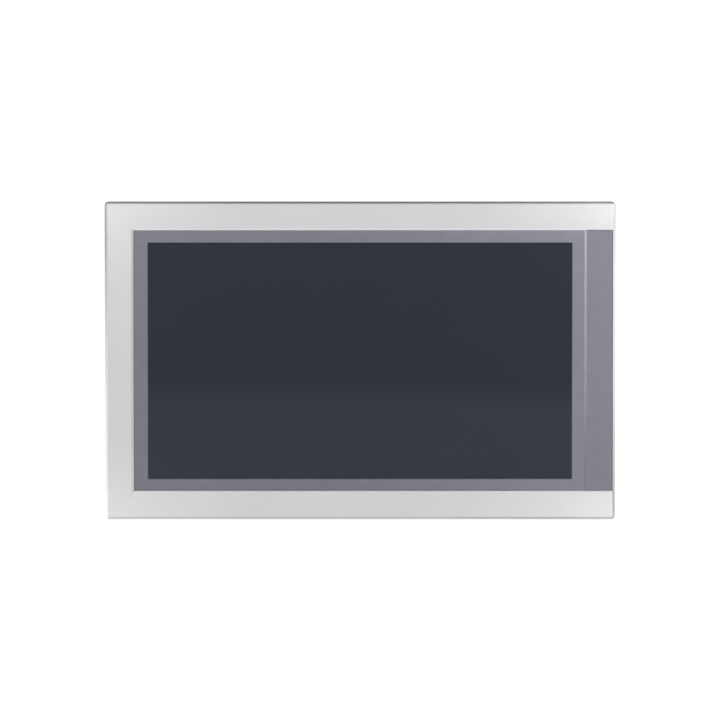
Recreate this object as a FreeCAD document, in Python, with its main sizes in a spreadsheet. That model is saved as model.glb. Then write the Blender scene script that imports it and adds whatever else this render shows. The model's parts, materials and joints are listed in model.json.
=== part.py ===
import FreeCAD, Part
import math
import os
import Sketcher
from FreeCAD import Placement, Rotation, Vector

# A 15.6 inch panel-mount HMI touch panel, as a parametric document.
#
# The origin is the centre of the panel cut-out, on the front surface of the cabinet door that the unit is
# fitted to. X runs to the right as the user sees the screen, Y runs back into the cabinet and Z runs up.
# Every sub-part is an object of the document, and its sizes are bound to the sheet named Sizes.

TINY = 0.001  # a length, or a volume, that counts as nothing
NEAR = 1.0    # how far round an outline its edges are looked for
CAN_COLUMNS, CAN_ROWS, COIL_COUNT = 4, 2, 3

doc = FreeCAD.newDocument("TouchPanel")
sheet = doc.addObject("Spreadsheet::Sheet", "Sizes")

# Driving dimensions, in millimetres. A depth is a distance in front of the mounting plane Y = 0, and a level
# is a distance behind it.
DIMENSIONS = {
    # bezel and gasket
    "bezel_width": 420, "bezel_height": 262, "corner_radius": 3.5, "edge_round": 1.6, "edge_depth": 8.2,
    "crown_rise": 0.8, "band_width": 23.6, "lip_width": 2.2, "bevel_width": 1.9, "bevel_depth": 1.4,
    "lip_bevel": 0.5, "recess_corner": 0.6,
    "floor_depth": 6.4, "back_depth": 1, "pocket_depth": 2.3, "opening_corner": 1, "flange_lap": 10,
    "seal_margin": 1.75, "seal_width": 4.5, "seal_groove": 2.5, "seal_corner": 1.75, "seal_ease": 0.1,
    # front film and side strip
    "window_width": 349, "window_height": 194.6, "window_corner": 0.6, "window_chamfer": 0.6,
    "sheet_thick": 0.8, "sheet_gap": 0.2, "strip_left": 184.6, "strip_bevel": 1.8, "strip_thick": 1.8,
    "strip_seam": 0.4,
    # touch screen and its tail
    "glass_width": 358, "glass_height": 203, "glass_gap": 1, "film_thick": 0.3, "spacer_thick": 0.2,
    "touch_thick": 2, "spacer_width": 4, "tail_left": 76, "tail_width": 20, "tail_thick": 0.3,
    "tail_gap": 0.5, "tail_relief": 5.5, "tail_low": 109.2, "tail_drop": 108.4, "tail_turn": 14,
    "tail_rise": 50, "tail_slot": 0.6, "tail_plug_side": 1, "plug_depth": 3.4,
    # display
    "module_width": 363.8, "module_height": 215.9, "module_depth": 8, "module_gap": 0.9, "module_skin": 0.8,
    "view_width": 350, "view_height": 197, "cell_width": 352.6, "cell_height": 200.6, "cell_thick": 1.6,
    "guide_width": 352, "lamp_height": 4, "lamp_gap": 0.3,
    # chassis and the pillars on it
    "plate_level": 5.7, "plate_thick": 1.2, "foot_width": 14, "foot_length": 6.5, "foot_x": 50,
    "foot_z": 113.9, "side_foot_x": 188.5, "side_foot_z": 60, "foot_screw": 1.25, "foot_head": 1.5,
    "foot_head_radius": 2.5, "foot_socket": 1.5, "foot_thread": 3,
    "post_a": -144, "post_b": -57, "post_c": 60, "post_d": 150, "post_z": 66,
    "post_flats": 5.5, "post_bore": 10, "cable_window": 44, "cable_gate": 22, "cable_z": 60,
    "cable_width": 30, "cable_plug": 32, "cable_thick": 0.6, "cable_bend": 18, "cable_step": 16,
    # main board
    "board_level": 29.4, "board_thick": 1.6, "board_left": -150, "board_right": 160, "board_low": -82.6,
    "board_high": 72, "board_corner": 2, "board_screw": 8, "chip_width": 23, "chip_thick": 2,
    "memory_x": 48, "memory_z": 14, "memory_width": 12, "memory_height": 9, "memory_thick": 1.2,
    "spread_foot": 40, "spread_plate": 60, "spread_thick": 4, "can_x": -138, "can_z": -40,
    "can_pitch": 11, "can_radius": 4, "can_height": 12, "coil_x": -88, "coil_z": -30, "coil_pitch": 16,
    "coil_width": 12, "coil_height": 7, "coil_corner": 1.5,
    # power connector
    "plug_x": -118, "plug_level": 37.2, "plug_poles": 3, "pole_pitch": 5.08, "plug_side": 1,
    "shell_wall": 1.2, "plug_in": 12, "plug_out": 10, "plug_ease": 0.2, "pin_width": 1, "wire_entry": 3.2,
    "wire_depth": 8, "wire_drop": 1, "pin_inset": 1, "pin_hole": 1.4, "slit_long": 3,
    "clamp_screw": 1.7, "well_depth": 4.5, "screw_sink": 0.4, "slot_width": 0.5,
    "slot_depth": 0.6,
    # serial ports
    "serial_a": -76, "serial_b": -38, "com_rise": 6.6, "com_width": 30.8, "com_height": 13.2,
    "com_corner": 1, "com_flange": 0.8, "com_shell": 5.4, "shell_width": 16.9, "shell_height": 8.4,
    "shell_lean": 1.2, "shell_skin": 0.5, "jack_x": 12.5, "jack_flats": 4.8, "jack_length": 5,
    "jack_bore": 1.5, "com_block": 19.6, "com_depth": 14, "com_pitch": 2.77, "com_row": 1.42,
    "com_pin": 0.5, "com_ease": 1,
    # network, USB and service ports
    "lan_a": -6, "lan_b": 13, "lan_width": 16, "lan_height": 13.4, "lan_depth": 21, "lan_proud": 0.6,
    "lan_mouth": 11.8, "lan_floor": 1.6, "lan_key": 2.6, "lan_key_wide": 5.9, "lan_tall": 7.2,
    "lan_bore": 14, "usb_x": 34,
    "usb_width": 14, "usb_height": 14.6, "usb_depth": 17.5, "usb_skin": 0.7, "usb_tall": 5.6,
    "usb_bore": 12, "usb_tongue": 1.8, "usb_low": 3.9, "usb_top": 11, "usb_offset": 1, "usb_inset": 1,
    "service_x": 52, "service_width": 8.4, "service_height": 4.2,
    "service_depth": 9, "service_floor": 1,
    # earth terminal
    "earth_x": -142, "earth_y": 38, "earth_radius": 2, "earth_long": 6, "earth_head": 3,
    "earth_flats": 7, "earth_nut": 2.5, "washer_radius": 5, "washer_thick": 1,
    # card slot, switches and battery
    "slot_low": 22, "slot_span": 28, "slot_long": 29, "slot_height": 3.6, "slot_skin": 0.6,
    "slot_bore": 26, "slot_side": 1.2, "switch_face": 158, "switch_height": 6, "switch_deep": 7,
    "mode_low": -8,
    "mode_span": 8, "slider_pitch": 2.54, "slider_long": 1.6, "slider_wide": 1.2, "slider_travel": 1.6,
    "slider_play": 0.1, "slider_rest": 1.4, "slider_proud": 1, "track_deep": 1.5, "reset_low": 6,
    "plunger_radius": 1.6, "plunger_clear": 0.06, "plunger_bore": 2.4, "plunger_travel": 0.5,
    "plunger_proud": 2.4, "coin_x": -133, "coin_z": 39, "coin_base": 1.6, "coin_height": 3.2,
    "coin_radius": 10, "coin_gap": 0.2, "coin_round": 0.6, "holder_height": 5, "holder_radius": 12,
    "notch_width": 8,
    # rear housing
    "housing_gap": 1, "wall": 2.5, "tray_level": 28, "bay_level": 48.5, "housing_round": 3,
    "edge_soft": 1.2, "bay_left": -165, "bay_right": 165, "bay_low": -86, "bay_high": 98,
    "boss_radius": 4.5, "boss_seat": 6, "well_gap": 0.4, "port_gap": 0.4, "vent_pitch": 8,
    "vent_width": 3, "vent_length": 14, "top_vents": 25, "rear_vent_left": 110, "rear_vent_long": 36,
    "rear_vent_low": -56, "rear_vents": 12,
    # machine screws
    "screw_radius": 1.5, "screw_head": 2.8, "screw_clear": 1.7, "head_height": 2.4, "socket_flats": 2,
    "socket_share": 0.6, "thread_gap": 0.04, "thread_depth": 3.6, "fix_x": 192.5, "fix_z": 114.9,
    "fix_mid": 64, "fix_side": 36,
    # doors
    "door_thick": 2, "door_gap": 0.4, "barrel_radius": 1.6, "peg_radius": 1, "peg_length": 1.6,
    "peg_clear": 0.08, "ear_side": 2.2, "ear_long": 3.2, "grip_inset": 1.5, "grip_width": 3,
    "grip_long": 14, "grip_corner": 1.4, "grip_depth": 1.2, "card_low": -12, "card_high": 52,
    "card_front": 30, "card_back": 45, "coin_left": -154, "coin_right": -112, "coin_low": 18,
    "coin_high": 60,
    # heat sink
    "sink_width": 190, "sink_height": 150, "sink_centre": 6, "sink_plate": 3, "sink_lap": 10,
    "sink_screw_x": 90, "sink_screw_z": 69, "sink_nut": 1, "fin_level": 60, "fin_thick": 1.6, "fin_pitch": 9,
    "fin_count": 19, "fin_inset": 3, "vesa_pitch": 100, "vesa_boss": 6, "vesa_hole": 1.65,
    "vesa_depth": 8,
    # mounting clamps
    "clamp_x": 120, "clamp_rise": 5.4, "clamp_bore": 2.06, "clamp_rod": 2, "clamp_width": 14,
    "clamp_lift": 0.3, "clamp_base": 2.2, "clamp_back": 30, "clamp_crown": 9, "clamp_round": 3,
    "clamp_head": 38, "cap_height": 3.6, "cap_radius": 3.5, "cap_socket": 2, "cap_flats": 3,
    "lug_front": 22, "lug_back": 29, "hook_front": 12.6, "hook_back": 17.6, "hook_x": 4,
    "hook_width": 3, "hook_gap": 0.3, "hook_catch": 1.2, "pad_level": 8, "pad_thick": 4,
    "pad_radius": 3.4, "pad_edge": 0.5, "pad_floor": 1.6, "pivot_radius": 1.4, "pivot_clear": 0.06,
}
for row, (alias, number) in enumerate(DIMENSIONS.items(), start=1):
    sheet.set(f"A{row}", alias.replace("_", " "))
    sheet.set(f"B{row}", str(number))
    sheet.setAlias(f"B{row}", alias)
doc.recompute()


class Size:
    """A length that knows its value and the formula that ties it to the sheet."""

    def __init__(self, formula, value):
        self.formula = formula
        self.value = value

    def __add__(self, other):
        other = as_size(other)
        return Size(f"({self.formula} + {other.formula})", self.value + other.value)

    def __sub__(self, other):
        other = as_size(other)
        return Size(f"({self.formula} - {other.formula})", self.value - other.value)

    def __mul__(self, factor):
        factor = as_size(factor)
        return Size(f"({self.formula} * {factor.formula})", self.value * factor.value)

    def __truediv__(self, factor):
        factor = as_size(factor)
        return Size(f"({self.formula} / {factor.formula})", self.value / factor.value)

    def __neg__(self):
        return self * -1

    def __radd__(self, other):
        return as_size(other) + self

    def __rsub__(self, other):
        return as_size(other) - self

    def __rmul__(self, other):
        return as_size(other) * self


def as_size(number):
    return number if isinstance(number, Size) else Size(f"({number:.6f})", float(number))


class Sheet:
    """Gives each alias of the sheet as a Size: S.bezel_width."""

    def __getattr__(self, alias):
        return Size("Sizes." + alias, float(sheet.get(alias)))


S = Sheet()
pieces = []  # every finished sub-part, in the order in which it was made


def bind(thing, prop, size):
    thing.setExpression(prop, as_size(size).formula)


def keep(thing, label):
    """Names a finished sub-part. Its label is the name of its file."""
    thing.Label = label
    pieces.append(thing)
    return thing


def place(thing, x=0, y=0, z=0, axis=Vector(0, 1, 0), angle=0):
    """Puts a piece at a point bound to the sheet, turned about an axis."""
    thing.Placement = Placement(Vector(), Rotation(axis, angle))
    for letter, size in zip("xyz", (x, y, z)):
        bind(thing, "Placement.Base." + letter, size)
    return thing


# ---------------------------------------------------------------- outlines for sketches


def fix_point(sketch, geometry, end, x, y, tag):
    """Ties one end of a sketch element to the sketch's origin, in both directions."""
    for kind, size, letter in (("DistanceX", x, "x"), ("DistanceY", y, "y")):
        if size is not None:
            size = as_size(size)
            index = sketch.addConstraint(Sketcher.Constraint(kind, -1, 1, geometry, end, size.value))
            sketch.renameConstraint(index, f"{tag}_{letter}")
            bind(sketch, f"Constraints.{tag}_{letter}", size)


def polygon(*corners):
    """A closed outline with straight sides. Each corner is an (x, y) pair."""

    def add(sketch, tag):
        points = [Vector(as_size(x).value, as_size(y).value, 0) for x, y in corners]
        first = sketch.GeometryCount
        for start, end in zip(points, points[1:] + points[:1]):
            sketch.addGeometry(Part.LineSegment(start, end), False)
        for i in range(len(points)):
            after = first + (i + 1) % len(points)
            sketch.addConstraint(Sketcher.Constraint("Coincident", first + i, 2, after, 1))
            fix_point(sketch, first + i, 1, *corners[i], f"{tag}_{i}")

    return add


def rectangle(x, y, radius=None):
    """A rectangle between two x and two y values, with rounded corners if a radius is given."""
    (left, right), (low, high) = [[as_size(v) for v in pair] for pair in (x, y)]
    if radius is None:
        return polygon((left, low), (right, low), (right, high), (left, high))
    radius = as_size(radius)

    def add(sketch, tag):
        r = radius.value
        x0, x1, y0, y1 = left.value, right.value, low.value, high.value
        centres = [(x1 - r, y0 + r), (x1 - r, y1 - r), (x0 + r, y1 - r), (x0 + r, y0 + r)]
        sides = [((x0 + r, y0), (x1 - r, y0)), ((x1, y0 + r), (x1, y1 - r)),
                 ((x1 - r, y1), (x0 + r, y1)), ((x0, y1 - r), (x0, y0 + r))]
        first = sketch.GeometryCount
        for quarter, ((start, end), centre) in enumerate(zip(sides, centres)):
            sketch.addGeometry(Part.LineSegment(Vector(*start, 0), Vector(*end, 0)), False)
            corner = Part.Circle(Vector(*centre, 0), Vector(0, 0, 1), r)
            turn = (quarter - 1) * math.pi / 2
            sketch.addGeometry(Part.ArcOfCircle(corner, turn, turn + math.pi / 2), False)
        for side in range(4):
            line, arc = first + 2 * side, first + 2 * side + 1
            following = first + (2 * side + 2) % 8
            sketch.addConstraint(Sketcher.Constraint("Tangent", line, 2, arc, 1))
            sketch.addConstraint(Sketcher.Constraint("Tangent", arc, 2, following, 1))
            way = "Horizontal" if side % 2 == 0 else "Vertical"
            sketch.addConstraint(Sketcher.Constraint(way, line))
            if side:
                sketch.addConstraint(Sketcher.Constraint("Equal", first + 1, arc))
        index = sketch.addConstraint(Sketcher.Constraint("Radius", first + 1, r))
        sketch.renameConstraint(index, f"{tag}_radius")
        bind(sketch, f"Constraints.{tag}_radius", radius)
        fix_point(sketch, first, 1, None, low, f"{tag}_low")
        fix_point(sketch, first + 2, 1, right, None, f"{tag}_right")
        fix_point(sketch, first + 4, 1, None, high, f"{tag}_high")
        fix_point(sketch, first + 6, 1, left, None, f"{tag}_left")

    return add


def circle(x, y, radius):
    """A full circle."""
    x, y, radius = as_size(x), as_size(y), as_size(radius)

    def add(sketch, tag):
        round_ = Part.Circle(Vector(x.value, y.value, 0), Vector(0, 0, 1), radius.value)
        index = sketch.addGeometry(round_, False)
        fix_point(sketch, index, 3, x, y, tag)
        limit = sketch.addConstraint(Sketcher.Constraint("Radius", index, radius.value))
        sketch.renameConstraint(limit, f"{tag}_radius")
        bind(sketch, f"Constraints.{tag}_radius", radius)

    return add


def hexagon(x, y, across_flats):
    """A regular hexagon, with two of its sides level."""
    reach = as_size(across_flats) / math.sqrt(3)
    turns = [math.radians(60 * side) for side in range(6)]
    return polygon(*[(x + reach * math.cos(t), y + reach * math.sin(t)) for t in turns])


# ---------------------------------------------------------------- bodies and features

NORMAL = {"XZ_Plane": -1, "XY_Plane": 1, "YZ_Plane": 1}  # which way each origin plane faces


class Piece:
    """A PartDesign body whose features are drawn on its own origin planes.

    An XZ sketch is drawn in X and Z, a YZ sketch in Y and Z, and an XY sketch in X and Y. A feature runs
    between two levels along the axis that the plane leaves out.
    """

    def __init__(self, label, finished=True):
        self.body = doc.addObject("PartDesign::Body", label)
        if finished:
            keep(self.body, label)

    def origin(self, role):
        return next(o for o in self.body.Origin.OriginFeatures if o.Role == role)

    def feature(self, kind):
        return self.body.newObject("PartDesign::" + kind, kind)

    def sketch(self, plane, level, *outlines):
        made = self.body.newObject("Sketcher::SketchObject", "Sketch")
        made.AttachmentSupport = [(self.origin(plane), "")]
        made.MapMode = "FlatFace"
        made.Visibility = False
        bind(made, "AttachmentOffset.Base.z", as_size(level) * NORMAL[plane])
        for number, outline in enumerate(outlines):
            outline(made, f"o{number}")
        return made

    def extrude(self, kind, plane, start, end, outlines):
        start, end = as_size(start), as_size(end)
        profile = self.sketch(plane, start, *outlines)
        made = self.feature(kind)
        made.Profile = profile
        way = 1 if end.value > start.value else -1
        bind(made, "Length", (end - start) * way)
        along_normal = way == NORMAL[plane]
        made.Reversed = along_normal if kind == "Pocket" else not along_normal
        return made

    def pad(self, plane, start, end, *outlines):
        return self.extrude("Pad", plane, start, end, outlines)

    def pocket(self, plane, start, end, *outlines):
        return self.extrude("Pocket", plane, start, end, outlines)

    def loft(self, kind, plane, start, end, first, last):
        """Adds or takes away a shape with flat sides, from one outline to another."""
        lower = self.sketch(plane, start, first)
        upper = self.sketch(plane, end, last)
        made = self.feature(kind)
        made.Profile = lower
        made.Sections = [upper]
        made.Ruled = True
        return made

    def turn(self, *profile):
        """Turns a closed profile, given as (radius, y) pairs, about the Y axis of the body."""
        outline = self.sketch("XY_Plane", 0, polygon(*profile))
        made = self.feature("Revolution")
        made.Profile = outline
        made.ReferenceAxis = (self.origin("Y_Axis"), [""])
        made.Angle = 360
        return made

    def soften(self, kind, size, *tests):
        """Fillets or chamfers every edge that passes all the tests."""
        doc.recompute()
        before = self.body.Tip
        edges = enumerate(before.Shape.Edges, start=1)
        names = [f"Edge{number}" for number, edge in edges if all(test(edge) for test in tests)]
        made = self.feature(kind)
        made.Base = (before, names)
        bind(made, "Radius" if kind == "Fillet" else "Size", size)
        self.body.Tip = made
        return made

    def repeat(self, made, axis, pitch, count):
        """Repeats a feature along an origin axis of the body."""
        row = self.feature("LinearPattern")
        row.Originals = [made]
        row.Direction = (self.origin(axis), [""])
        bind(row, "Length", as_size(pitch) * (as_size(count) - 1))
        bind(row, "Occurrences", count)
        self.body.Tip = row
        return row


def lies_at(axis, size):
    """A test for an edge that lies wholly at one level of an axis."""
    level = as_size(size).value
    return lambda edge: all(abs(getattr(point, axis) - level) < TINY for point in edge.discretize(3))


def runs_along(axis):
    """A test for a straight edge along an axis."""
    others = [letter for letter in "xyz" if letter != axis]

    def test(edge):
        start, end = edge.discretize(2)
        return all(abs(getattr(start, letter) - getattr(end, letter)) < TINY for letter in others)

    return test


def inside(x, z):
    """A test for an edge whose middle lies inside a box in X and Z."""
    box = [(as_size(low).value, as_size(high).value) for low, high in (x, z)]

    def test(edge):
        middle = edge.BoundBox.Center
        return all(low < value < high for (low, high), value in zip(box, (middle.x, middle.z)))

    return test


def outside(x, z):
    """A test for an edge whose middle lies outside a box in X and Z."""
    within = inside(x, z)
    return lambda edge: not within(edge)


def around(centre, width):
    """The two ends of a width that is centred on a value."""
    return (centre - as_size(width) / 2, centre + as_size(width) / 2)


def grown(pair, margin):
    """A pair of ends, moved apart by a margin at each end."""
    return (pair[0] - margin, pair[1] + margin)


def ribbon(thickness, *path):
    """The outline of a strip that follows a path of square turns."""
    points = [(as_size(a), as_size(b)) for a, b in path]
    steps = []
    for (a, b), (c, d) in zip(points, points[1:]):
        run, rise = c.value - a.value, d.value - b.value
        length = math.hypot(run, rise)
        steps.append((-rise / length, run / length))
    sides = [steps[:1]] + [[before, after] for before, after in zip(steps, steps[1:])] + [steps[-1:]]
    left, right = [], []
    for (a, b), normals in zip(points, sides):
        across_a = as_size(thickness) / 2 * sum(n[0] for n in normals)
        across_b = as_size(thickness) / 2 * sum(n[1] for n in normals)
        left.append((a + across_a, b + across_b))
        right.append((a - across_a, b - across_b))
    return polygon(*left, *reversed(right))


# ---------------------------------------------------------------- the frame that the pieces share

HALF_WIDTH = S.bezel_width / 2
HALF_HEIGHT = S.bezel_height / 2
EDGE_FRONT = -S.edge_depth
CROWN = EDGE_FRONT - S.crown_rise
FLOOR = -S.floor_depth
BACK = -S.back_depth
POCKET = -S.pocket_depth
RECESS_X = (-HALF_WIDTH + S.band_width, HALF_WIDTH - S.lip_width)
RECESS_Z = around(0, S.bezel_height - S.band_width * 2)
OPENING_X = around(0, S.glass_width + S.glass_gap * 2)
OPENING_Z = around(0, S.glass_height + S.glass_gap * 2)
GLASS_X = around(0, S.glass_width)
GLASS_Z = around(0, S.glass_height)
MODULE_X = around(0, S.module_width)
MODULE_Z = around(0, S.module_height)
SEAL_OUT_X = around(0, S.bezel_width - S.seal_margin * 2)
SEAL_OUT_Z = around(0, S.bezel_height - S.seal_margin * 2)
SEAL_IN_X = grown(SEAL_OUT_X, -S.seal_width)
SEAL_IN_Z = grown(SEAL_OUT_Z, -S.seal_width)
HOUSING_X = around(0, S.bezel_width - (S.flange_lap + S.housing_gap) * 2)
HOUSING_Z = around(0, S.bezel_height - (S.flange_lap + S.housing_gap) * 2)
BAY_X = (S.bay_left, S.bay_right)
BAY_Z = (S.bay_low, S.bay_high)
BOARD_BACK = S.board_level + S.board_thick
BAY_INSIDE = S.bay_level - S.wall
TRAY_INSIDE = S.tray_level - S.wall
SINK_X = around(0, S.sink_width)
SINK_Z = around(S.sink_centre, S.sink_height)
CARD_Z = (S.card_low, S.card_high)
COIN_X = (S.coin_left, S.coin_right)
COIN_Z = (S.coin_low, S.coin_high)
PLATE_BACK = S.plate_level + S.plate_thick
SEAT_TIP = BACK - S.thread_depth

SIGNS = [(i, j) for i in (-1, 1) for j in (-1, 1)]
FIX_POINTS = [(S.fix_x * i, S.fix_z * j) for i, j in SIGNS]
FIX_POINTS += [(S.fix_x * i, S.fix_side * j) for i, j in SIGNS]
FIX_POINTS += [(S.fix_mid * i, S.fix_z * j) for i, j in SIGNS]
FOOT_SPOTS_X = [(S.foot_x * i, S.foot_z * j) for i in (-3, -1, 1, 3) for j in (-1, 1)]
FOOT_SPOTS_Z = [(S.side_foot_x * i, S.side_foot_z * j) for i, j in SIGNS]
BOARD_POINTS = [(x, S.post_z * j) for x in (S.post_a, S.post_b, S.post_c, S.post_d) for j in (-1, 1)]
SINK_POINTS = [(S.sink_screw_x * i, S.sink_centre + S.sink_screw_z * j) for i in (-1, 1) for j in (-1, 0, 1)]
VESA_POINTS = [(S.vesa_pitch / 2 * i, S.sink_centre + S.vesa_pitch / 2 * j) for i, j in SIGNS]


# ---------------------------------------------------------------- the front


def front_bezel():
    """The cast frame: four mitred bands round a bevelled recess, with the gasket groove in its back."""
    bezel = Piece("front_bezel")
    outer_x, outer_z = around(0, S.bezel_width), around(0, S.bezel_height)
    foot_x, foot_z = grown(outer_x, -S.edge_round), grown(outer_z, -S.edge_round)
    slope_foot = rectangle(foot_x, foot_z, S.corner_radius - S.edge_round)
    recess = rectangle(RECESS_X, RECESS_Z, S.recess_corner)
    bezel.pad("XZ_Plane", BACK, EDGE_FRONT, rectangle(outer_x, outer_z, S.corner_radius))
    bezel.soften("Fillet", S.edge_round, lies_at("y", EDGE_FRONT))
    bezel.loft("AdditiveLoft", "XZ_Plane", EDGE_FRONT, CROWN, slope_foot, recess)
    bezel.pocket("XZ_Plane", CROWN, FLOOR, recess)
    bevel_x = (RECESS_X[0] - S.bevel_width, RECESS_X[1] + S.lip_bevel)
    bevel = rectangle(bevel_x, grown(RECESS_Z, S.bevel_width), S.recess_corner + S.lip_bevel)
    bezel.loft("SubtractiveLoft", "XZ_Plane", CROWN, CROWN + S.bevel_depth, bevel, recess)
    bezel.pocket("XZ_Plane", FLOOR, BACK, rectangle(OPENING_X, OPENING_Z, S.opening_corner))
    module = rectangle(grown(MODULE_X, S.module_gap), grown(MODULE_Z, S.module_gap))
    bezel.pocket("XZ_Plane", BACK, POCKET, module)
    groove = [rectangle(x, z, S.seal_corner) for x, z in ((SEAL_OUT_X, SEAL_OUT_Z), (SEAL_IN_X, SEAL_IN_Z))]
    bezel.pocket("XZ_Plane", BACK, BACK - S.seal_groove, *groove)
    holes = [circle(x, z, S.screw_radius + S.thread_gap) for x, z in FIX_POINTS]
    bezel.pocket("XZ_Plane", BACK, SEAT_TIP - S.thread_gap, *holes)
    foot_holes = [circle(x, z, S.foot_screw + S.thread_gap) for x, z in FOOT_SPOTS_X + FOOT_SPOTS_Z]
    bezel.pocket("XZ_Plane", BACK, BACK - S.foot_thread - S.thread_gap, *foot_holes)
    tail_x = grown((S.tail_left, S.tail_left + S.tail_width), S.tail_gap)
    bezel.pocket("XZ_Plane", POCKET, -S.tail_relief, rectangle(tail_x, (-S.tail_low, OPENING_Z[0])))


def side_strip():
    """The strip beside the screen, with a sloping edge that catches the light."""
    strip = Piece("side_strip")
    right = RECESS_X[1] - S.sheet_gap
    front = FLOOR - S.strip_thick
    slope = (S.strip_left, FLOOR - S.sheet_thick)
    section = polygon((S.strip_left, FLOOR), (right, FLOOR), (right, front),
                      (S.strip_left + S.strip_bevel, front), slope)
    strip.pad("XY_Plane", RECESS_Z[0] + S.sheet_gap, RECESS_Z[1] - S.sheet_gap, section)


def front_sheet():
    """The grey film round the screen."""
    film = Piece("front_sheet")
    front = FLOOR - S.sheet_thick
    left, right = RECESS_X[0] + S.sheet_gap, S.strip_left - S.strip_seam
    window = rectangle(around(0, S.window_width), around(0, S.window_height), S.window_corner)
    film.pad("XZ_Plane", FLOOR, front, rectangle((left, right), grown(RECESS_Z, -S.sheet_gap)), window)
    near_window = inside(around(0, S.window_width + NEAR), around(0, S.window_height + NEAR))
    film.soften("Chamfer", S.window_chamfer, lies_at("y", front), near_window)


def panel_gasket():
    """The sealing ring in the back of the bezel. It lies on the front of the cabinet door."""
    gasket = Piece("panel_gasket")
    outer = rectangle(grown(SEAL_OUT_X, -S.seal_ease), grown(SEAL_OUT_Z, -S.seal_ease), S.seal_corner)
    inner = rectangle(grown(SEAL_IN_X, S.seal_ease), grown(SEAL_IN_Z, S.seal_ease), S.seal_corner)
    gasket.pad("XZ_Plane", BACK - S.seal_groove, 0, outer, inner)


def touch_stack():
    """The resistive touch screen: film, spacer frame and glass, with the foam behind it."""
    film_back = FLOOR + S.film_thick
    spacer_back = film_back + S.spacer_thick
    glass_back = spacer_back + S.touch_thick
    inside = rectangle(grown(GLASS_X, -S.spacer_width), grown(GLASS_Z, -S.spacer_width))
    Piece("touch_film").pad("XZ_Plane", FLOOR, film_back, rectangle(GLASS_X, GLASS_Z))
    Piece("touch_spacer").pad("XZ_Plane", film_back, spacer_back, rectangle(GLASS_X, GLASS_Z), inside)
    Piece("touch_glass").pad("XZ_Plane", spacer_back, glass_back, rectangle(GLASS_X, GLASS_Z))
    Piece("lcd_cushion").pad("XZ_Plane", glass_back, POCKET, rectangle(GLASS_X, GLASS_Z), inside)


def touch_tail():
    """The flat tail from the touch screen, round the display and up to the main board."""
    tail = Piece("touch_tail")
    level = FLOOR + S.film_thick + S.spacer_thick + S.touch_thick - S.tail_thick / 2
    plug_back = S.board_level
    run = ribbon(S.tail_thick, (level, GLASS_Z[0]), (level, -S.tail_drop), (S.tail_turn, -S.tail_drop),
                 (S.tail_turn, -S.tail_rise), (plug_back - S.plug_depth, -S.tail_rise))
    right = S.tail_left + S.tail_width
    tail.pad("YZ_Plane", S.tail_left, right, run)
    socket = rectangle(grown((S.tail_left, right), S.tail_plug_side), around(-S.tail_rise, S.plug_depth))
    tail.pad("XZ_Plane", plug_back - S.plug_depth, plug_back, socket)


# ---------------------------------------------------------------- the display and the chassis


def lcd_module():
    """The display: a steel frame with the cell, the light guide, its lamp bar and a back plate."""
    cell_front = POCKET + S.module_skin
    cell_back = cell_front + S.cell_thick
    back = POCKET + S.module_depth
    plate_front = back - S.module_skin
    outer = rectangle(MODULE_X, MODULE_Z)
    inside = rectangle(grown(MODULE_X, -S.module_skin), grown(MODULE_Z, -S.module_skin))
    frame = Piece("lcd_frame")
    view = rectangle(around(0, S.view_width), around(0, S.view_height))
    frame.pad("XZ_Plane", POCKET, cell_front, outer, view)
    frame.pad("XZ_Plane", cell_front, plate_front, outer, inside)
    cell = rectangle(around(0, S.cell_width), around(0, S.cell_height))
    Piece("lcd_cell").pad("XZ_Plane", cell_front, cell_back, cell)
    guide_x = around(0, S.guide_width)
    guide_low = MODULE_Z[0] + S.module_skin + S.lamp_height + S.lamp_gap * 2
    guide = rectangle(guide_x, (guide_low, MODULE_Z[1] - S.module_skin - S.lamp_gap))
    Piece("light_guide").pad("XZ_Plane", cell_back, plate_front, guide)
    lamp_low = MODULE_Z[0] + S.module_skin + S.lamp_gap
    lamp_front = cell_back + S.lamp_gap
    lamp = Piece("led_bar")
    lamp.pad("XZ_Plane", lamp_front, plate_front, rectangle(guide_x, (lamp_low, lamp_low + S.lamp_height)))
    plate = Piece("lcd_back_plate")
    plate.pad("XZ_Plane", plate_front, back, outer)


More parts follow.
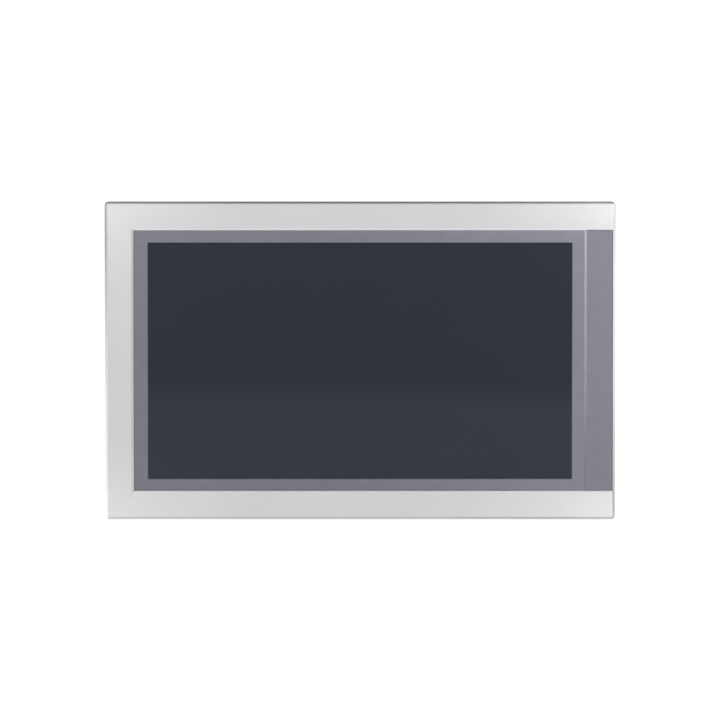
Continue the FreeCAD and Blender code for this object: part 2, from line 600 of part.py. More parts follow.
def chassis_plate():
    """The pressed tray that holds the display to the bezel and carries the main board."""
    chassis = Piece("chassis_plate")
    inside_x, inside_z = grown(MODULE_X, S.module_gap), grown(MODULE_Z, S.module_gap)
    outside_x, outside_z = grown(inside_x, S.plate_thick), grown(inside_z, S.plate_thick)
    outer = rectangle(outside_x, outside_z)
    chassis.pad("XZ_Plane", S.plate_level, PLATE_BACK, outer)
    chassis.pad("XZ_Plane", S.plate_level, BACK, outer, rectangle(inside_x, inside_z))
    for sign in (-1, 1):
        edge = outside_z[1] * sign
        reach = (edge - S.plate_thick / 2 * sign, edge + S.foot_length * sign)
        low, high = sorted(reach, key=lambda size: size.value)
        for step in (-3, -1, 1, 3):
            foot = rectangle(around(S.foot_x * step, S.foot_width), (low, high))
            chassis.pad("XZ_Plane", BACK, BACK + S.plate_thick, foot)
        edge = outside_x[1] * sign
        reach = (edge - S.plate_thick / 2 * sign, edge + S.foot_length * sign)
        low, high = sorted(reach, key=lambda size: size.value)
        for side in (-1, 1):
            foot = rectangle((low, high), around(S.side_foot_z * side, S.foot_width))
            chassis.pad("XZ_Plane", BACK, BACK + S.plate_thick, foot)
    holes = [circle(x, z, S.foot_screw + S.thread_gap) for x, z in FOOT_SPOTS_X + FOOT_SPOTS_Z]
    chassis.pocket("XZ_Plane", BACK + S.plate_thick, BACK, *holes)
    tail_x = grown((S.tail_left, S.tail_left + S.tail_width), S.tail_gap)
    slot = rectangle(tail_x, grown(around(-S.tail_drop, S.tail_thick), S.tail_slot))
    window = rectangle(around(0, S.cable_window), around(S.cable_z, S.cable_gate))
    chassis.pocket("XZ_Plane", PLATE_BACK, S.plate_level, slot, window)


def fasteners(label, points, seat, tip, radius, head_radius, head_height, socket):
    """Round-headed screws that point forward: the heads are behind the seat, the tips at another level."""
    group = Piece(label)
    top = seat + head_height
    group.pad("XZ_Plane", seat, tip, *[circle(x, z, radius) for x, z in points])
    group.pad("XZ_Plane", seat, top, *[circle(x, z, head_radius) for x, z in points])
    sockets = [hexagon(x, z, socket) for x, z in points]
    group.pocket("XZ_Plane", top, top - head_height * S.socket_share, *sockets)
    return group


def board_standoffs():
    """Hexagonal pillars between the chassis and the main board."""
    posts = Piece("board_standoffs")
    posts.pad("XZ_Plane", PLATE_BACK, S.board_level, *[hexagon(x, z, S.post_flats) for x, z in BOARD_POINTS])
    bores = [circle(x, z, S.screw_radius + S.thread_gap) for x, z in BOARD_POINTS]
    posts.pocket("XZ_Plane", S.board_level, S.board_level - S.post_bore, *bores)


# ---------------------------------------------------------------- the electronics


def main_board():
    board = Piece("main_board")
    outline = rectangle((S.board_left, S.board_right), (S.board_low, S.board_high), S.board_corner)
    holes = [circle(x, z, S.screw_clear) for x, z in BOARD_POINTS]
    board.pad("XZ_Plane", S.board_level, BOARD_BACK, outline, *holes)


def chips_and_cooling():
    """The processor, its memory and the block that takes its heat to the heat sink."""
    chip_back = BOARD_BACK + S.chip_thick
    die = rectangle(around(0, S.chip_width), around(S.sink_centre, S.chip_width))
    Piece("processor").pad("XZ_Plane", BOARD_BACK, chip_back, die)
    rows = [(x, S.sink_centre + z) for x in (-S.memory_x, S.memory_x) for z in (-S.memory_z, S.memory_z)]
    chips = [rectangle(around(x, S.memory_width), around(z, S.memory_height)) for x, z in rows]
    Piece("memory_chips").pad("XZ_Plane", BOARD_BACK, BOARD_BACK + S.memory_thick, *chips)
    spreader = Piece("heat_spreader")
    foot = rectangle(around(0, S.spread_foot), around(S.sink_centre, S.spread_foot))
    plate = rectangle(around(0, S.spread_plate), around(S.sink_centre, S.spread_plate))
    plate_front = S.bay_level - S.spread_thick
    spreader.pad("XZ_Plane", chip_back, plate_front, foot)
    spreader.pad("XZ_Plane", plate_front, S.bay_level, plate)


def power_parts():
    """The capacitors and inductors of the power supply."""
    spots = [(S.can_x + S.can_pitch * i, S.can_z + S.can_pitch * j) for i in range(CAN_COLUMNS)
             for j in range(CAN_ROWS)]
    cans = Piece("capacitors")
    rounds = [circle(x, z, S.can_radius) for x, z in spots]
    cans.pad("XZ_Plane", BOARD_BACK, BOARD_BACK + S.can_height, *rounds)
    coils = Piece("inductors")
    spots = [(S.coil_x, S.coil_z + S.coil_pitch * i) for i in range(COIL_COUNT)]
    blocks = [rectangle(around(x, S.coil_width), around(z, S.coil_width), S.coil_corner) for x, z in spots]
    coils.pad("XZ_Plane", BOARD_BACK, BOARD_BACK + S.coil_height, *blocks)


def display_cable():
    """The flat cable from the display to the front of the main board, with a plug at each end."""
    cable = Piece("display_cable")
    start = POCKET + S.module_depth
    end = S.board_level
    bend = S.cable_bend
    low = S.cable_z - S.cable_step
    run = ribbon(S.cable_thick, (start + S.plug_depth, S.cable_z), (bend, S.cable_z), (bend, low),
                 (end - S.plug_depth, low))
    cable.pad("YZ_Plane", -S.cable_width / 2, S.cable_width / 2, run)
    plug_x = around(0, S.cable_plug)
    cable.pad("XZ_Plane", start, start + S.plug_depth, rectangle(plug_x, around(S.cable_z, S.plug_depth)))
    cable.pad("XZ_Plane", end - S.plug_depth, end, rectangle(plug_x, around(low, S.plug_depth)))


def power_connector():
    """The pin header on the board, and the plug with screw terminals that pushes on from below."""
    width = S.pole_pitch * S.plug_poles + S.plug_side * 2
    shell_x = around(S.plug_x, width + S.shell_wall * 2)
    shell_y = (BOARD_BACK, S.plug_level * 2 - BOARD_BACK)
    mouth = S.bay_low
    floor = mouth + S.plug_in
    header = Piece("power_header")
    header.pad("XY_Plane", mouth, floor + S.shell_wall, rectangle(shell_x, shell_y))
    cavity = rectangle(grown(shell_x, -S.shell_wall), grown(shell_y, -S.shell_wall))
    header.pocket("XY_Plane", mouth, floor, cavity)
    poles = [S.plug_x + S.pole_pitch * i for i in (-1, 0, 1)]
    pins = [rectangle(around(x, S.pin_width), around(S.plug_level, S.pin_width)) for x in poles]
    header.pad("XY_Plane", floor, mouth + S.pin_inset, *pins)

    plug = Piece("power_plug")
    nose_x = grown(shell_x, -S.shell_wall - S.plug_ease)
    nose_y = grown(shell_y, -S.shell_wall - S.plug_ease)
    face = mouth - S.plug_out
    plug.pad("XY_Plane", face, floor - S.plug_ease, rectangle(nose_x, nose_y))
    sockets = [rectangle(around(x, S.pin_hole), around(S.plug_level, S.pin_hole)) for x in poles]
    plug.pocket("XY_Plane", floor - S.plug_ease, mouth, *sockets)
    wire_y = around(S.plug_level - S.wire_drop, S.wire_entry)
    wires = [rectangle(around(x, S.wire_entry), wire_y) for x in poles]
    plug.pocket("XY_Plane", face, face + S.wire_depth, *wires)
    screw_z = face + S.plug_out / 2
    top = nose_y[1]
    wells = [circle(x, screw_z, S.clamp_screw + S.thread_gap) for x in poles]
    plug.pocket("XZ_Plane", top, top - S.well_depth, *wells)
    screws = Piece("power_plug_screws")
    heads = [circle(x, screw_z, S.clamp_screw) for x in poles]
    screws.pad("XZ_Plane", top - S.well_depth, top - S.screw_sink, *heads)
    slots = [rectangle(around(x, S.slit_long), around(screw_z, S.slot_width)) for x in poles]
    screws.pocket("XZ_Plane", top - S.screw_sink, top - S.screw_sink - S.slot_depth, *slots)


def shell_outline(x, y, width, height, lean):
    """The D shape of a serial port: wider on one side than on the other."""
    half, rise = as_size(width) / 2, as_size(height) / 2
    narrow = half - lean
    return polygon((x - narrow, y - rise), (x + narrow, y - rise), (x + half, y + rise), (x - half, y + rise))


def shell_outlines(ports, level, less):
    """The D shapes of all the serial ports, made smaller all round."""
    return [shell_outline(x, level, S.shell_width - less, S.shell_height - less, S.shell_lean) for x in ports]


def serial_ports():
    """Two nine-pin ports: plated shells and jack posts, and the moulded inserts with their pins."""
    level = BOARD_BACK + S.com_rise
    outside_wall = S.bay_low
    flange = outside_wall - S.com_flange
    mouth = flange - S.com_shell
    shells = Piece("com_ports")
    inserts = Piece("com_port_inserts")
    ports = (S.serial_a, S.serial_b)
    flanges = [rectangle(around(x, S.com_width), around(level, S.com_height), S.com_corner) for x in ports]
    outer = shell_outlines(ports, level, 0)
    inner = shell_outlines(ports, level, S.shell_skin * 2)
    shells.pad("XY_Plane", outside_wall, flange, *flanges)
    shells.pad("XY_Plane", flange, mouth, *outer)
    shells.pocket("XY_Plane", mouth, outside_wall, *inner)
    posts = [hexagon(x + S.jack_x * side, level, S.jack_flats) for x in ports for side in (-1, 1)]
    bores = [circle(x + S.jack_x * side, level, S.jack_bore) for x in ports for side in (-1, 1)]
    shells.pad("XY_Plane", flange, flange - S.jack_length, *posts)
    shells.pocket("XY_Plane", flange - S.jack_length, flange, *bores)

    core = shell_outlines(ports, level, S.shell_skin * 2 + S.plug_ease)
    blocks = [rectangle(around(x, S.com_block), (BOARD_BACK, level + S.com_rise - S.com_ease)) for x in ports]
    inserts.pad("XY_Plane", outside_wall + S.plug_ease, outside_wall + S.com_depth, *blocks)
    inserts.pad("XY_Plane", outside_wall + S.plug_ease, flange - S.com_ease, *core)
    pins = []
    for x in ports:
        for row, count in ((1, 5), (-1, 4)):
            first = -S.com_pitch * (count - 1) / 2
            spots = [x + first + S.com_pitch * i for i in range(count)]
            pins += [circle(spot, level + S.com_row * row, S.com_pin) for spot in spots]
    inserts.pad("XY_Plane", flange - S.com_ease, mouth + S.com_ease, *pins)


def lan_ports():
    """Two screened network sockets."""
    sockets = Piece("lan_ports")
    mouth = S.bay_low - S.lan_proud
    for x in (S.lan_a, S.lan_b):
        body = rectangle(around(x, S.lan_width), (BOARD_BACK, BOARD_BACK + S.lan_height))
        sockets.pad("XY_Plane", mouth, mouth + S.lan_depth, body)
    for x in (S.lan_a, S.lan_b):
        low = BOARD_BACK + S.lan_floor
        ledge = low + S.lan_key
        cavity = rectangle(around(x, S.lan_mouth), (ledge, ledge + S.lan_tall))
        keyway = rectangle(around(x, S.lan_key_wide), (low, ledge))
        sockets.pocket("XY_Plane", mouth, mouth + S.lan_bore, cavity)
        sockets.pocket("XY_Plane", mouth, mouth + S.lan_bore, keyway)


def usb_ports():
    """A stack of two USB sockets, and a small service port beside it."""
    ports = Piece("usb_ports")
    mouth = S.bay_low - S.lan_proud
    stack = rectangle(around(S.usb_x, S.usb_width), (BOARD_BACK, BOARD_BACK + S.usb_height))
    ports.pad("XY_Plane", mouth, mouth + S.usb_depth, stack)
    cavity_x = around(S.usb_x, S.usb_width - S.usb_skin * 2)
    levels = [BOARD_BACK + S.usb_low, BOARD_BACK + S.usb_top]
    cavities = [rectangle(cavity_x, around(level, S.usb_tall)) for level in levels]
    ports.pocket("XY_Plane", mouth, mouth + S.usb_bore, *cavities)
    tongue_x = grown(cavity_x, -S.usb_skin)
    tongues = [rectangle(tongue_x, around(level + S.usb_offset, S.usb_tongue)) for level in levels]
    ports.pad("XY_Plane", mouth + S.usb_bore, mouth + S.usb_inset, *tongues)
    service_x = around(S.service_x, S.service_width)
    service_y = (BOARD_BACK, BOARD_BACK + S.service_height)
    ports.pad("XY_Plane", mouth, mouth + S.service_depth, rectangle(service_x, service_y))
    hole = rectangle(grown(service_x, -S.shell_skin), grown(service_y, -S.shell_skin))
    ports.pocket("XY_Plane", mouth, mouth + S.service_depth - S.service_floor, hole)


def card_slot():
    """The memory-card socket at the right-hand edge of the board."""
    socket = Piece("card_slot")
    right = S.board_right
    tall = (BOARD_BACK, BOARD_BACK + S.slot_height)
    wide = (S.slot_low, S.slot_low + S.slot_span)
    socket.pad("YZ_Plane", right, right - S.slot_long, rectangle(tall, wide))
    mouth = rectangle(grown(tall, -S.slot_skin), grown(wide, -S.slot_side))
    socket.pocket("YZ_Plane", right, right - S.slot_bore, mouth)


def switches():
    """The two-way mode switch with its sliders, and the reset switch with its plunger."""
    body_y = (BOARD_BACK, BOARD_BACK + S.switch_height)
    mode_z = (S.mode_low, S.mode_low + S.mode_span)
    face = S.switch_face
    rest_y = BOARD_BACK + S.slider_rest
    mode = Piece("dip_switch")
    mode.pad("YZ_Plane", face - S.switch_deep, face, rectangle(body_y, mode_z))
    middles = [mode_z[0] + S.mode_span / 2 + S.slider_pitch / 2 * side for side in (-1, 1)]
    for middle in middles:
        track_y = (rest_y - S.slider_play, rest_y + S.slider_long + S.slider_travel + S.slider_play)
        track = rectangle(track_y, around(middle, S.slider_wide + S.slider_play * 2))
        mode.pocket("YZ_Plane", face, face - S.track_deep, track)
    for number, middle in enumerate(middles, start=1):
        slider = Piece(f"dip_slider_{number}")
        outline = rectangle((rest_y, rest_y + S.slider_long), around(middle, S.slider_wide))
        slider.pad("YZ_Plane", face - S.track_deep, face + S.slider_proud, outline)
    reset_z = (S.reset_low, S.reset_low + S.switch_height)
    centre = (BOARD_BACK + S.switch_height / 2, S.reset_low + S.switch_height / 2)
    base = Piece("reset_switch")
    base.pad("YZ_Plane", face - S.switch_deep, face, rectangle(body_y, reset_z))
    base.pocket("YZ_Plane", face, face - S.plunger_bore, circle(*centre, S.plunger_radius + S.plunger_clear))
    plunger = Piece("reset_button")
    inner = face - S.plunger_bore + S.plunger_travel
    plunger.pad("YZ_Plane", inner, face + S.plunger_proud, circle(*centre, S.plunger_radius))


def battery_and_holder():
    """The clock battery in its round holder."""
    centre = (S.coin_x, S.coin_z)
    base = BOARD_BACK + S.coin_base
    holder = Piece("battery_holder")
    holder.pad("XZ_Plane", BOARD_BACK, BOARD_BACK + S.holder_height, circle(*centre, S.holder_radius))
    holder.pocket("XZ_Plane", BOARD_BACK + S.holder_height, base, circle(*centre, S.coin_radius + S.coin_gap))
    notch = rectangle(around(S.coin_x, S.notch_width), (S.coin_z - S.holder_radius, S.coin_z))
    holder.pocket("XZ_Plane", BOARD_BACK + S.holder_height, base, notch)
    battery = Piece("battery")
    battery.pad("XZ_Plane", base, base + S.coin_height, circle(*centre, S.coin_radius))
    doc.recompute()
    battery.soften("Fillet", S.coin_round, lies_at("y", base + S.coin_height))


# ---------------------------------------------------------------- the rear


def clamp_slot_places():
    """Where the clamps hook into the housing walls: (x, z, turn about Y in degrees)."""
    top, right = HOUSING_Z[1], HOUSING_X[1]
    zero = as_size(0)
    return [(-S.clamp_x, top, 0), (S.clamp_x, top, 0), (right, zero, 90),
            (S.clamp_x, -top, 180), (-S.clamp_x, -top, 180), (-right, zero, 270)]


def rear_housing():
    """The moulded rear shell: a shallow tray behind the bezel and a deeper bay for the electronics."""
    shell = Piece("rear_housing")
    shell.pad("XZ_Plane", BACK, S.tray_level, rectangle(HOUSING_X, HOUSING_Z, S.housing_round))
    shell.pad("XZ_Plane", S.tray_level, S.bay_level, rectangle(BAY_X, BAY_Z, S.housing_round))
    shell.soften("Fillet", S.edge_soft, lies_at("y", S.bay_level))
    beyond_bay = outside(grown(BAY_X, NEAR), grown(BAY_Z, NEAR))
    shell.soften("Fillet", S.edge_soft, lies_at("y", S.tray_level), beyond_bay)
    inner_corner = S.housing_round - S.wall
    tray_inside = rectangle(grown(HOUSING_X, -S.wall), grown(HOUSING_Z, -S.wall), inner_corner)
    bay_inside = rectangle(grown(BAY_X, -S.wall), grown(BAY_Z, -S.wall), inner_corner)
    shell.pocket("XZ_Plane", BACK, TRAY_INSIDE, tray_inside)
    shell.pocket("XZ_Plane", TRAY_INSIDE, BAY_INSIDE, bay_inside)
    clamp_slots(shell)
    port_openings(shell)
    door_openings(shell)
    housing_bosses(shell)
    rear_openings(shell)


def housing_bosses(shell):
    """The pillars that take the housing screws, each with a deep counterbore."""
    pillars = [circle(x, z, S.boss_radius) for x, z in FIX_POINTS]
    shell.pad("XZ_Plane", BACK, TRAY_INSIDE, *pillars)
    wells = [circle(x, z, S.screw_head + S.well_gap) for x, z in FIX_POINTS]
    shell.pocket("XZ_Plane", S.tray_level, S.boss_seat, *wells)
    shell.pocket("XZ_Plane", S.boss_seat, BACK, *[circle(x, z, S.screw_clear) for x, z in FIX_POINTS])


def door_openings(shell):
    """The openings for the two doors, with the ears that hold their pegs."""
    axis_x = S.bay_right - S.barrel_radius
    axis_y = S.card_front + S.door_gap + S.barrel_radius
    ear_x = (axis_x - S.ear_side, S.bay_right - S.wall / 2)
    ends = ((S.card_low - S.ear_long, S.card_low), (S.card_high, S.card_high + S.ear_long))
    ears = [rectangle(ear_x, end) for end in ends]
    shell.pad("XZ_Plane", S.card_front - S.ear_side, axis_y + S.ear_side, *ears)
    opening = rectangle((S.card_front, S.card_back), CARD_Z)
    shell.pocket("YZ_Plane", S.bay_right, S.bay_right - S.wall, opening)
    hole = circle(axis_x, axis_y, S.peg_radius + S.peg_clear)
    depth = S.peg_length + S.door_gap
    shell.pocket("XY_Plane", S.card_low, S.card_low - depth, hole)
    shell.pocket("XY_Plane", S.card_high, S.card_high + depth, hole)

    axis_y = S.bay_level - S.barrel_radius
    axis_z = S.coin_high - S.door_gap - S.barrel_radius
    ear_z = (axis_z - S.ear_side, S.coin_high + S.ear_side / 2)
    ends = ((S.coin_left - S.ear_long, S.coin_left), (S.coin_right, S.coin_right + S.ear_long))
    ears = [rectangle(end, ear_z) for end in ends]
    shell.pad("XZ_Plane", axis_y - S.ear_side, S.bay_level - S.wall / 2, *ears)
    shell.pocket("XZ_Plane", S.bay_level, BAY_INSIDE, rectangle(COIN_X, COIN_Z))
    hole = circle(axis_y, axis_z, S.peg_radius + S.peg_clear)
    shell.pocket("YZ_Plane", S.coin_left, S.coin_left - depth, hole)
    shell.pocket("YZ_Plane", S.coin_right, S.coin_right + depth, hole)


def rear_openings(shell):
    """The opening under the heat sink, its screw holes, and the rows of vents."""
    opening = rectangle(grown(SINK_X, -S.sink_lap), grown(SINK_Z, -S.sink_lap), S.housing_round)
    holes = [circle(x, z, S.screw_clear) for x, z in SINK_POINTS]
    shell.pocket("XZ_Plane", S.bay_level, BAY_INSIDE, opening, *holes)
    first_x = -S.vent_pitch * (S.top_vents - 1) / 2
    slot_y = around((S.tray_level + S.bay_level) / 2, S.vent_length)
    top_vent = shell.pocket("XY_Plane", S.bay_high, S.bay_high - S.wall,
                            rectangle(around(first_x, S.vent_width), slot_y))
    shell.repeat(top_vent, "X_Axis", S.vent_pitch, S.top_vents)
    slot_x = (S.rear_vent_left, S.rear_vent_left + S.rear_vent_long)
    slot = rectangle(slot_x, around(S.rear_vent_low, S.vent_width))
    rear_vent = shell.pocket("XZ_Plane", S.bay_level, BAY_INSIDE, slot)
    shell.repeat(rear_vent, "Z_Axis", S.vent_pitch, S.rear_vents)


def port_openings(shell):
    """The cut-outs in the bottom wall of the bay, one for each connector."""
    board = BOARD_BACK - S.port_gap
    width = S.pole_pitch * S.plug_poles + (S.plug_side + S.shell_wall) * 2
    header_top = S.plug_level * 2 - BOARD_BACK
    cuts = [(around(S.plug_x, width), header_top)]
    com_top = BOARD_BACK + S.com_rise * 2 - S.com_ease
    cuts += [(around(x, S.com_block), com_top) for x in (S.serial_a, S.serial_b)]
    cuts += [(around(x, S.lan_width), BOARD_BACK + S.lan_height) for x in (S.lan_a, S.lan_b)]
    cuts += [(around(S.usb_x, S.usb_width), BOARD_BACK + S.usb_height)]
    cuts += [(around(S.service_x, S.service_width), BOARD_BACK + S.service_height)]
    openings = [rectangle(grown(x, S.port_gap), (board, top + S.port_gap)) for x, top in cuts]
    earth = circle(S.earth_x, S.earth_y, S.earth_radius + S.thread_gap)
    shell.pocket("XY_Plane", S.bay_low, S.bay_low + S.wall, *openings, earth)


def clamp_slots(shell):
    """Two slots for the hooks of each clamp, through the side walls of the tray."""
    slot_y = grown((S.hook_front, S.hook_back), S.hook_gap)
    width = S.hook_width + S.hook_gap * 2
    top, right = HOUSING_Z[1], HOUSING_X[1]
    hooks = [S.hook_x * side for side in (-1, 1)]
    level = [rectangle(around(S.clamp_x * side + hook, width), slot_y) for side in (-1, 1) for hook in hooks]
    upright = [rectangle(slot_y, around(hook, width)) for hook in hooks]
    for way in (-1, 1):
        shell.pocket("XY_Plane", top * way, (top - S.wall) * way, *level)
        shell.pocket("YZ_Plane", right * way, (right - S.wall) * way, *upright)


def heat_sink():
    """The finned cover, with four threaded bosses for a VESA arm."""
    sink = Piece("heat_sink")
    plate_back = S.bay_level + S.sink_plate
    sink.pad("XZ_Plane", S.bay_level, plate_back, rectangle(SINK_X, SINK_Z, S.housing_round))
    first_x = -S.fin_pitch * (S.fin_count - 1) / 2
    fin_z = grown(SINK_Z, -S.fin_inset)
    fin = sink.pad("XZ_Plane", plate_back, S.fin_level, rectangle(around(first_x, S.fin_thick), fin_z))
    sink.repeat(fin, "X_Axis", S.fin_pitch, S.fin_count)
    sink.pad("XZ_Plane", plate_back, S.fin_level, *[circle(x, z, S.vesa_boss) for x, z in VESA_POINTS])
    threads = [circle(x, z, S.vesa_hole) for x, z in VESA_POINTS]
    sink.pocket("XZ_Plane", S.fin_level, S.fin_level - S.vesa_depth, *threads)
    sink.pocket("XZ_Plane", plate_back, S.bay_level, *[circle(x, z, S.screw_clear) for x, z in SINK_POINTS])


def card_door():
    """The door over the card slot and the switches, hinged at its front edge."""
    door = Piece("card_door")
    axis_x = S.bay_right - S.barrel_radius
    axis_y = S.card_front + S.door_gap + S.barrel_radius
    low, high = S.card_low + S.door_gap, S.card_high - S.door_gap
    leaf = rectangle((S.bay_right - S.door_thick, S.bay_right), (axis_y, S.card_back - S.door_gap))
    door.pad("XY_Plane", low, high, leaf)
    door.pad("XY_Plane", low, high, circle(axis_x, axis_y, S.barrel_radius))
    door.pad("XY_Plane", low, low - S.peg_length, circle(axis_x, axis_y, S.peg_radius))
    door.pad("XY_Plane", high, high + S.peg_length, circle(axis_x, axis_y, S.peg_radius))
    grip_y = S.card_back - S.door_gap - S.grip_inset
    grip = rectangle((grip_y - S.grip_width, grip_y), around((low + high) / 2, S.grip_long), S.grip_corner)
    door.pocket("YZ_Plane", S.bay_right, S.bay_right - S.grip_depth, grip)


def battery_door():
    """The door over the battery, hinged along its top edge."""
    door = Piece("battery_door")
    axis_y = S.bay_level - S.barrel_radius
    axis_z = S.coin_high - S.door_gap - S.barrel_radius
    left, right = S.coin_left + S.door_gap, S.coin_right - S.door_gap
    leaf = rectangle((S.bay_level - S.door_thick, S.bay_level), (S.coin_low + S.door_gap, axis_z))
    door.pad("YZ_Plane", left, right, leaf)
    door.pad("YZ_Plane", left, right, circle(axis_y, axis_z, S.barrel_radius))
    door.pad("YZ_Plane", left, left - S.peg_length, circle(axis_y, axis_z, S.peg_radius))
    door.pad("YZ_Plane", right, right + S.peg_length, circle(axis_y, axis_z, S.peg_radius))
    grip_z = S.coin_low + S.door_gap + S.grip_inset
    grip = rectangle(around((left + right) / 2, S.grip_long), (grip_z, grip_z + S.grip_width), S.grip_corner)
    door.pocket("XZ_Plane", S.bay_level, S.bay_level - S.grip_depth, grip)


def earth_terminal():
    """The earthing screw in the bottom wall of the bay, with its washer."""
    terminal = Piece("earth_terminal")
    outside_wall = S.bay_low
    washer = outside_wall - S.washer_thick
    centre = (S.earth_x, S.earth_y)
    terminal.pad("XY_Plane", outside_wall + S.earth_long, washer, circle(*centre, S.earth_radius))
    terminal.pad("XY_Plane", outside_wall, washer, circle(*centre, S.washer_radius))
    terminal.pad("XY_Plane", washer, washer - S.earth_head, hexagon(*centre, S.earth_flats))
    inside_wall = outside_wall + S.wall
    terminal.pad("XY_Plane", inside_wall, inside_wall + S.earth_nut, hexagon(*centre, S.earth_flats))


# ---------------------------------------------------------------- the mounting clamps


def clamp_bracket(x, z, angle):
    """One clamp bracket. Its own Z axis points away from the housing wall that it hooks into."""
    bracket = Piece("clamp_bracket", finished=False)
    base_z = (S.clamp_lift, S.clamp_lift + S.clamp_base)
    wide = around(0, S.clamp_width)
    bracket.pad("YZ_Plane", *wide, rectangle((S.hook_front, S.clamp_back), base_z))
    bracket.pad("XZ_Plane", S.lug_front, S.lug_back, rectangle(wide, (S.clamp_lift, S.clamp_crown)))
    bracket.soften("Fillet", S.clamp_round, runs_along("y"), lies_at("z", S.clamp_crown))
    bracket.pocket("XZ_Plane", S.lug_back, S.lug_front, circle(0, S.clamp_rise, S.clamp_bore))
    shank_y = (S.hook_front, S.hook_back - S.hook_catch)
    catch_z = (-S.wall - S.hook_gap - S.hook_catch, -S.wall - S.hook_gap)
    for side in (-1, 1):
        ends = around(S.hook_x * side, S.hook_width)
        bracket.pad("YZ_Plane", *ends, rectangle(shank_y, (catch_z[0], S.clamp_lift + S.clamp_base / 2)))
        bracket.pad("YZ_Plane", *ends, rectangle((S.hook_front, S.hook_back + S.hook_catch), catch_z))
    place(bracket.body, x, 0, z, angle=angle)
    return bracket.body


def clamp_screw(number, x, z, angle):
    """The clamping screw: a socket head behind the lug, and a pivot that turns in the pad."""
    screw = Piece(f"clamp_screw_{number}")
    shoulder = S.pad_level + S.pad_thick + S.pivot_clear
    tip = S.pad_level + S.pad_floor + S.pivot_clear
    head_front = S.clamp_head
    head_back = head_front + S.cap_height
    screw.turn((0, tip), (S.pivot_radius, tip), (S.pivot_radius, shoulder), (S.clamp_rod, shoulder),
               (S.clamp_rod, head_front), (S.cap_radius, head_front),
               (S.cap_radius, head_back), (0, head_back))
    screw.pocket("XZ_Plane", head_back, head_back - S.cap_socket, hexagon(0, 0, S.cap_flats))
    place(screw.body, x, 0, z, angle=angle)


def clamp_pad(number, x, z, angle):
    """The swivel pad at the end of the screw, which bears on the back of the cabinet door."""
    pad = Piece(f"clamp_pad_{number}")
    back = S.pad_level + S.pad_thick
    bore = S.pivot_radius + S.pivot_clear
    floor = S.pad_level + S.pad_floor
    pad.turn((0, S.pad_level), (S.pad_radius - S.pad_edge, S.pad_level),
             (S.pad_radius, S.pad_level + S.pad_edge), (S.pad_radius, back),
             (bore, back), (bore, floor), (0, floor))
    place(pad.body, x, 0, z, angle=angle)


def clamps():
    """Six clamps: two along the top, two along the bottom and one on each side."""
    brackets = []
    for number, (x, z, angle) in enumerate(clamp_slot_places(), start=1):
        brackets.append(clamp_bracket(x, z, angle))
        turn = math.radians(angle)
        screw_x = x + S.clamp_rise * round(math.sin(turn))
        screw_z = z + S.clamp_rise * round(math.cos(turn))
        clamp_screw(number, screw_x, screw_z, angle)
        clamp_pad(number, screw_x, screw_z, angle)
    group = doc.addObject("Part::Compound", "ClampBrackets")
    group.Links = brackets
    keep(group, "clamp_brackets")


# ---------------------------------------------------------------- making and writing

front_bezel()
side_strip()
front_sheet()
panel_gasket()
touch_stack()
touch_tail()
lcd_module()
chassis_plate()
fasteners("chassis_screws", FOOT_SPOTS_X + FOOT_SPOTS_Z, BACK + S.plate_thick, BACK - S.foot_thread,
          S.foot_screw, S.foot_head_radius, S.foot_head, S.foot_socket)
board_standoffs()
fasteners("board_screws", BOARD_POINTS, BOARD_BACK, BOARD_BACK - S.board_screw, S.screw_radius, S.screw_head,
          S.head_height, S.socket_flats)
main_board()
chips_and_cooling()
power_parts()
display_cable()
power_connector()
serial_ports()
lan_ports()
usb_ports()
card_slot()
switches()
battery_and_holder()
rear_housing()
heat_sink()
card_door()
battery_door()
earth_terminal()
fasteners("housing_screws", FIX_POINTS, S.boss_seat, SEAT_TIP, S.screw_radius, S.screw_head, S.head_height,
          S.socket_flats)
fasteners("heat_sink_screws", SINK_POINTS, S.bay_level + S.sink_plate, BAY_INSIDE - S.sink_nut,
          S.screw_radius, S.screw_head, S.head_height, S.socket_flats)
clamps()
doc.recompute()

for thing in doc.Objects:
    if {"Invalid", "Error"} & set(thing.State):
        raise RuntimeError(f"{thing.Label} is in error: {thing.State}")
    if thing.TypeId in ("PartDesign::Pocket", "PartDesign::SubtractiveLoft"):
        if thing.Shape.Volume >= thing.BaseFeature.Shape.Volume - TINY:
            raise RuntimeError(f"{thing.Name} of {thing.getParent().Label} cuts nothing")

os.makedirs("parts", exist_ok=True)
for piece in pieces:
    if piece.Shape.isNull() or not piece.Shape.isValid():
        raise RuntimeError(f"{piece.Label} has no valid shape")
    piece.Shape.exportStep(f"parts/{piece.Label}.step")
    print(piece.Label, len(piece.Shape.Solids), round(piece.Shape.Volume))
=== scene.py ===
import json
import math

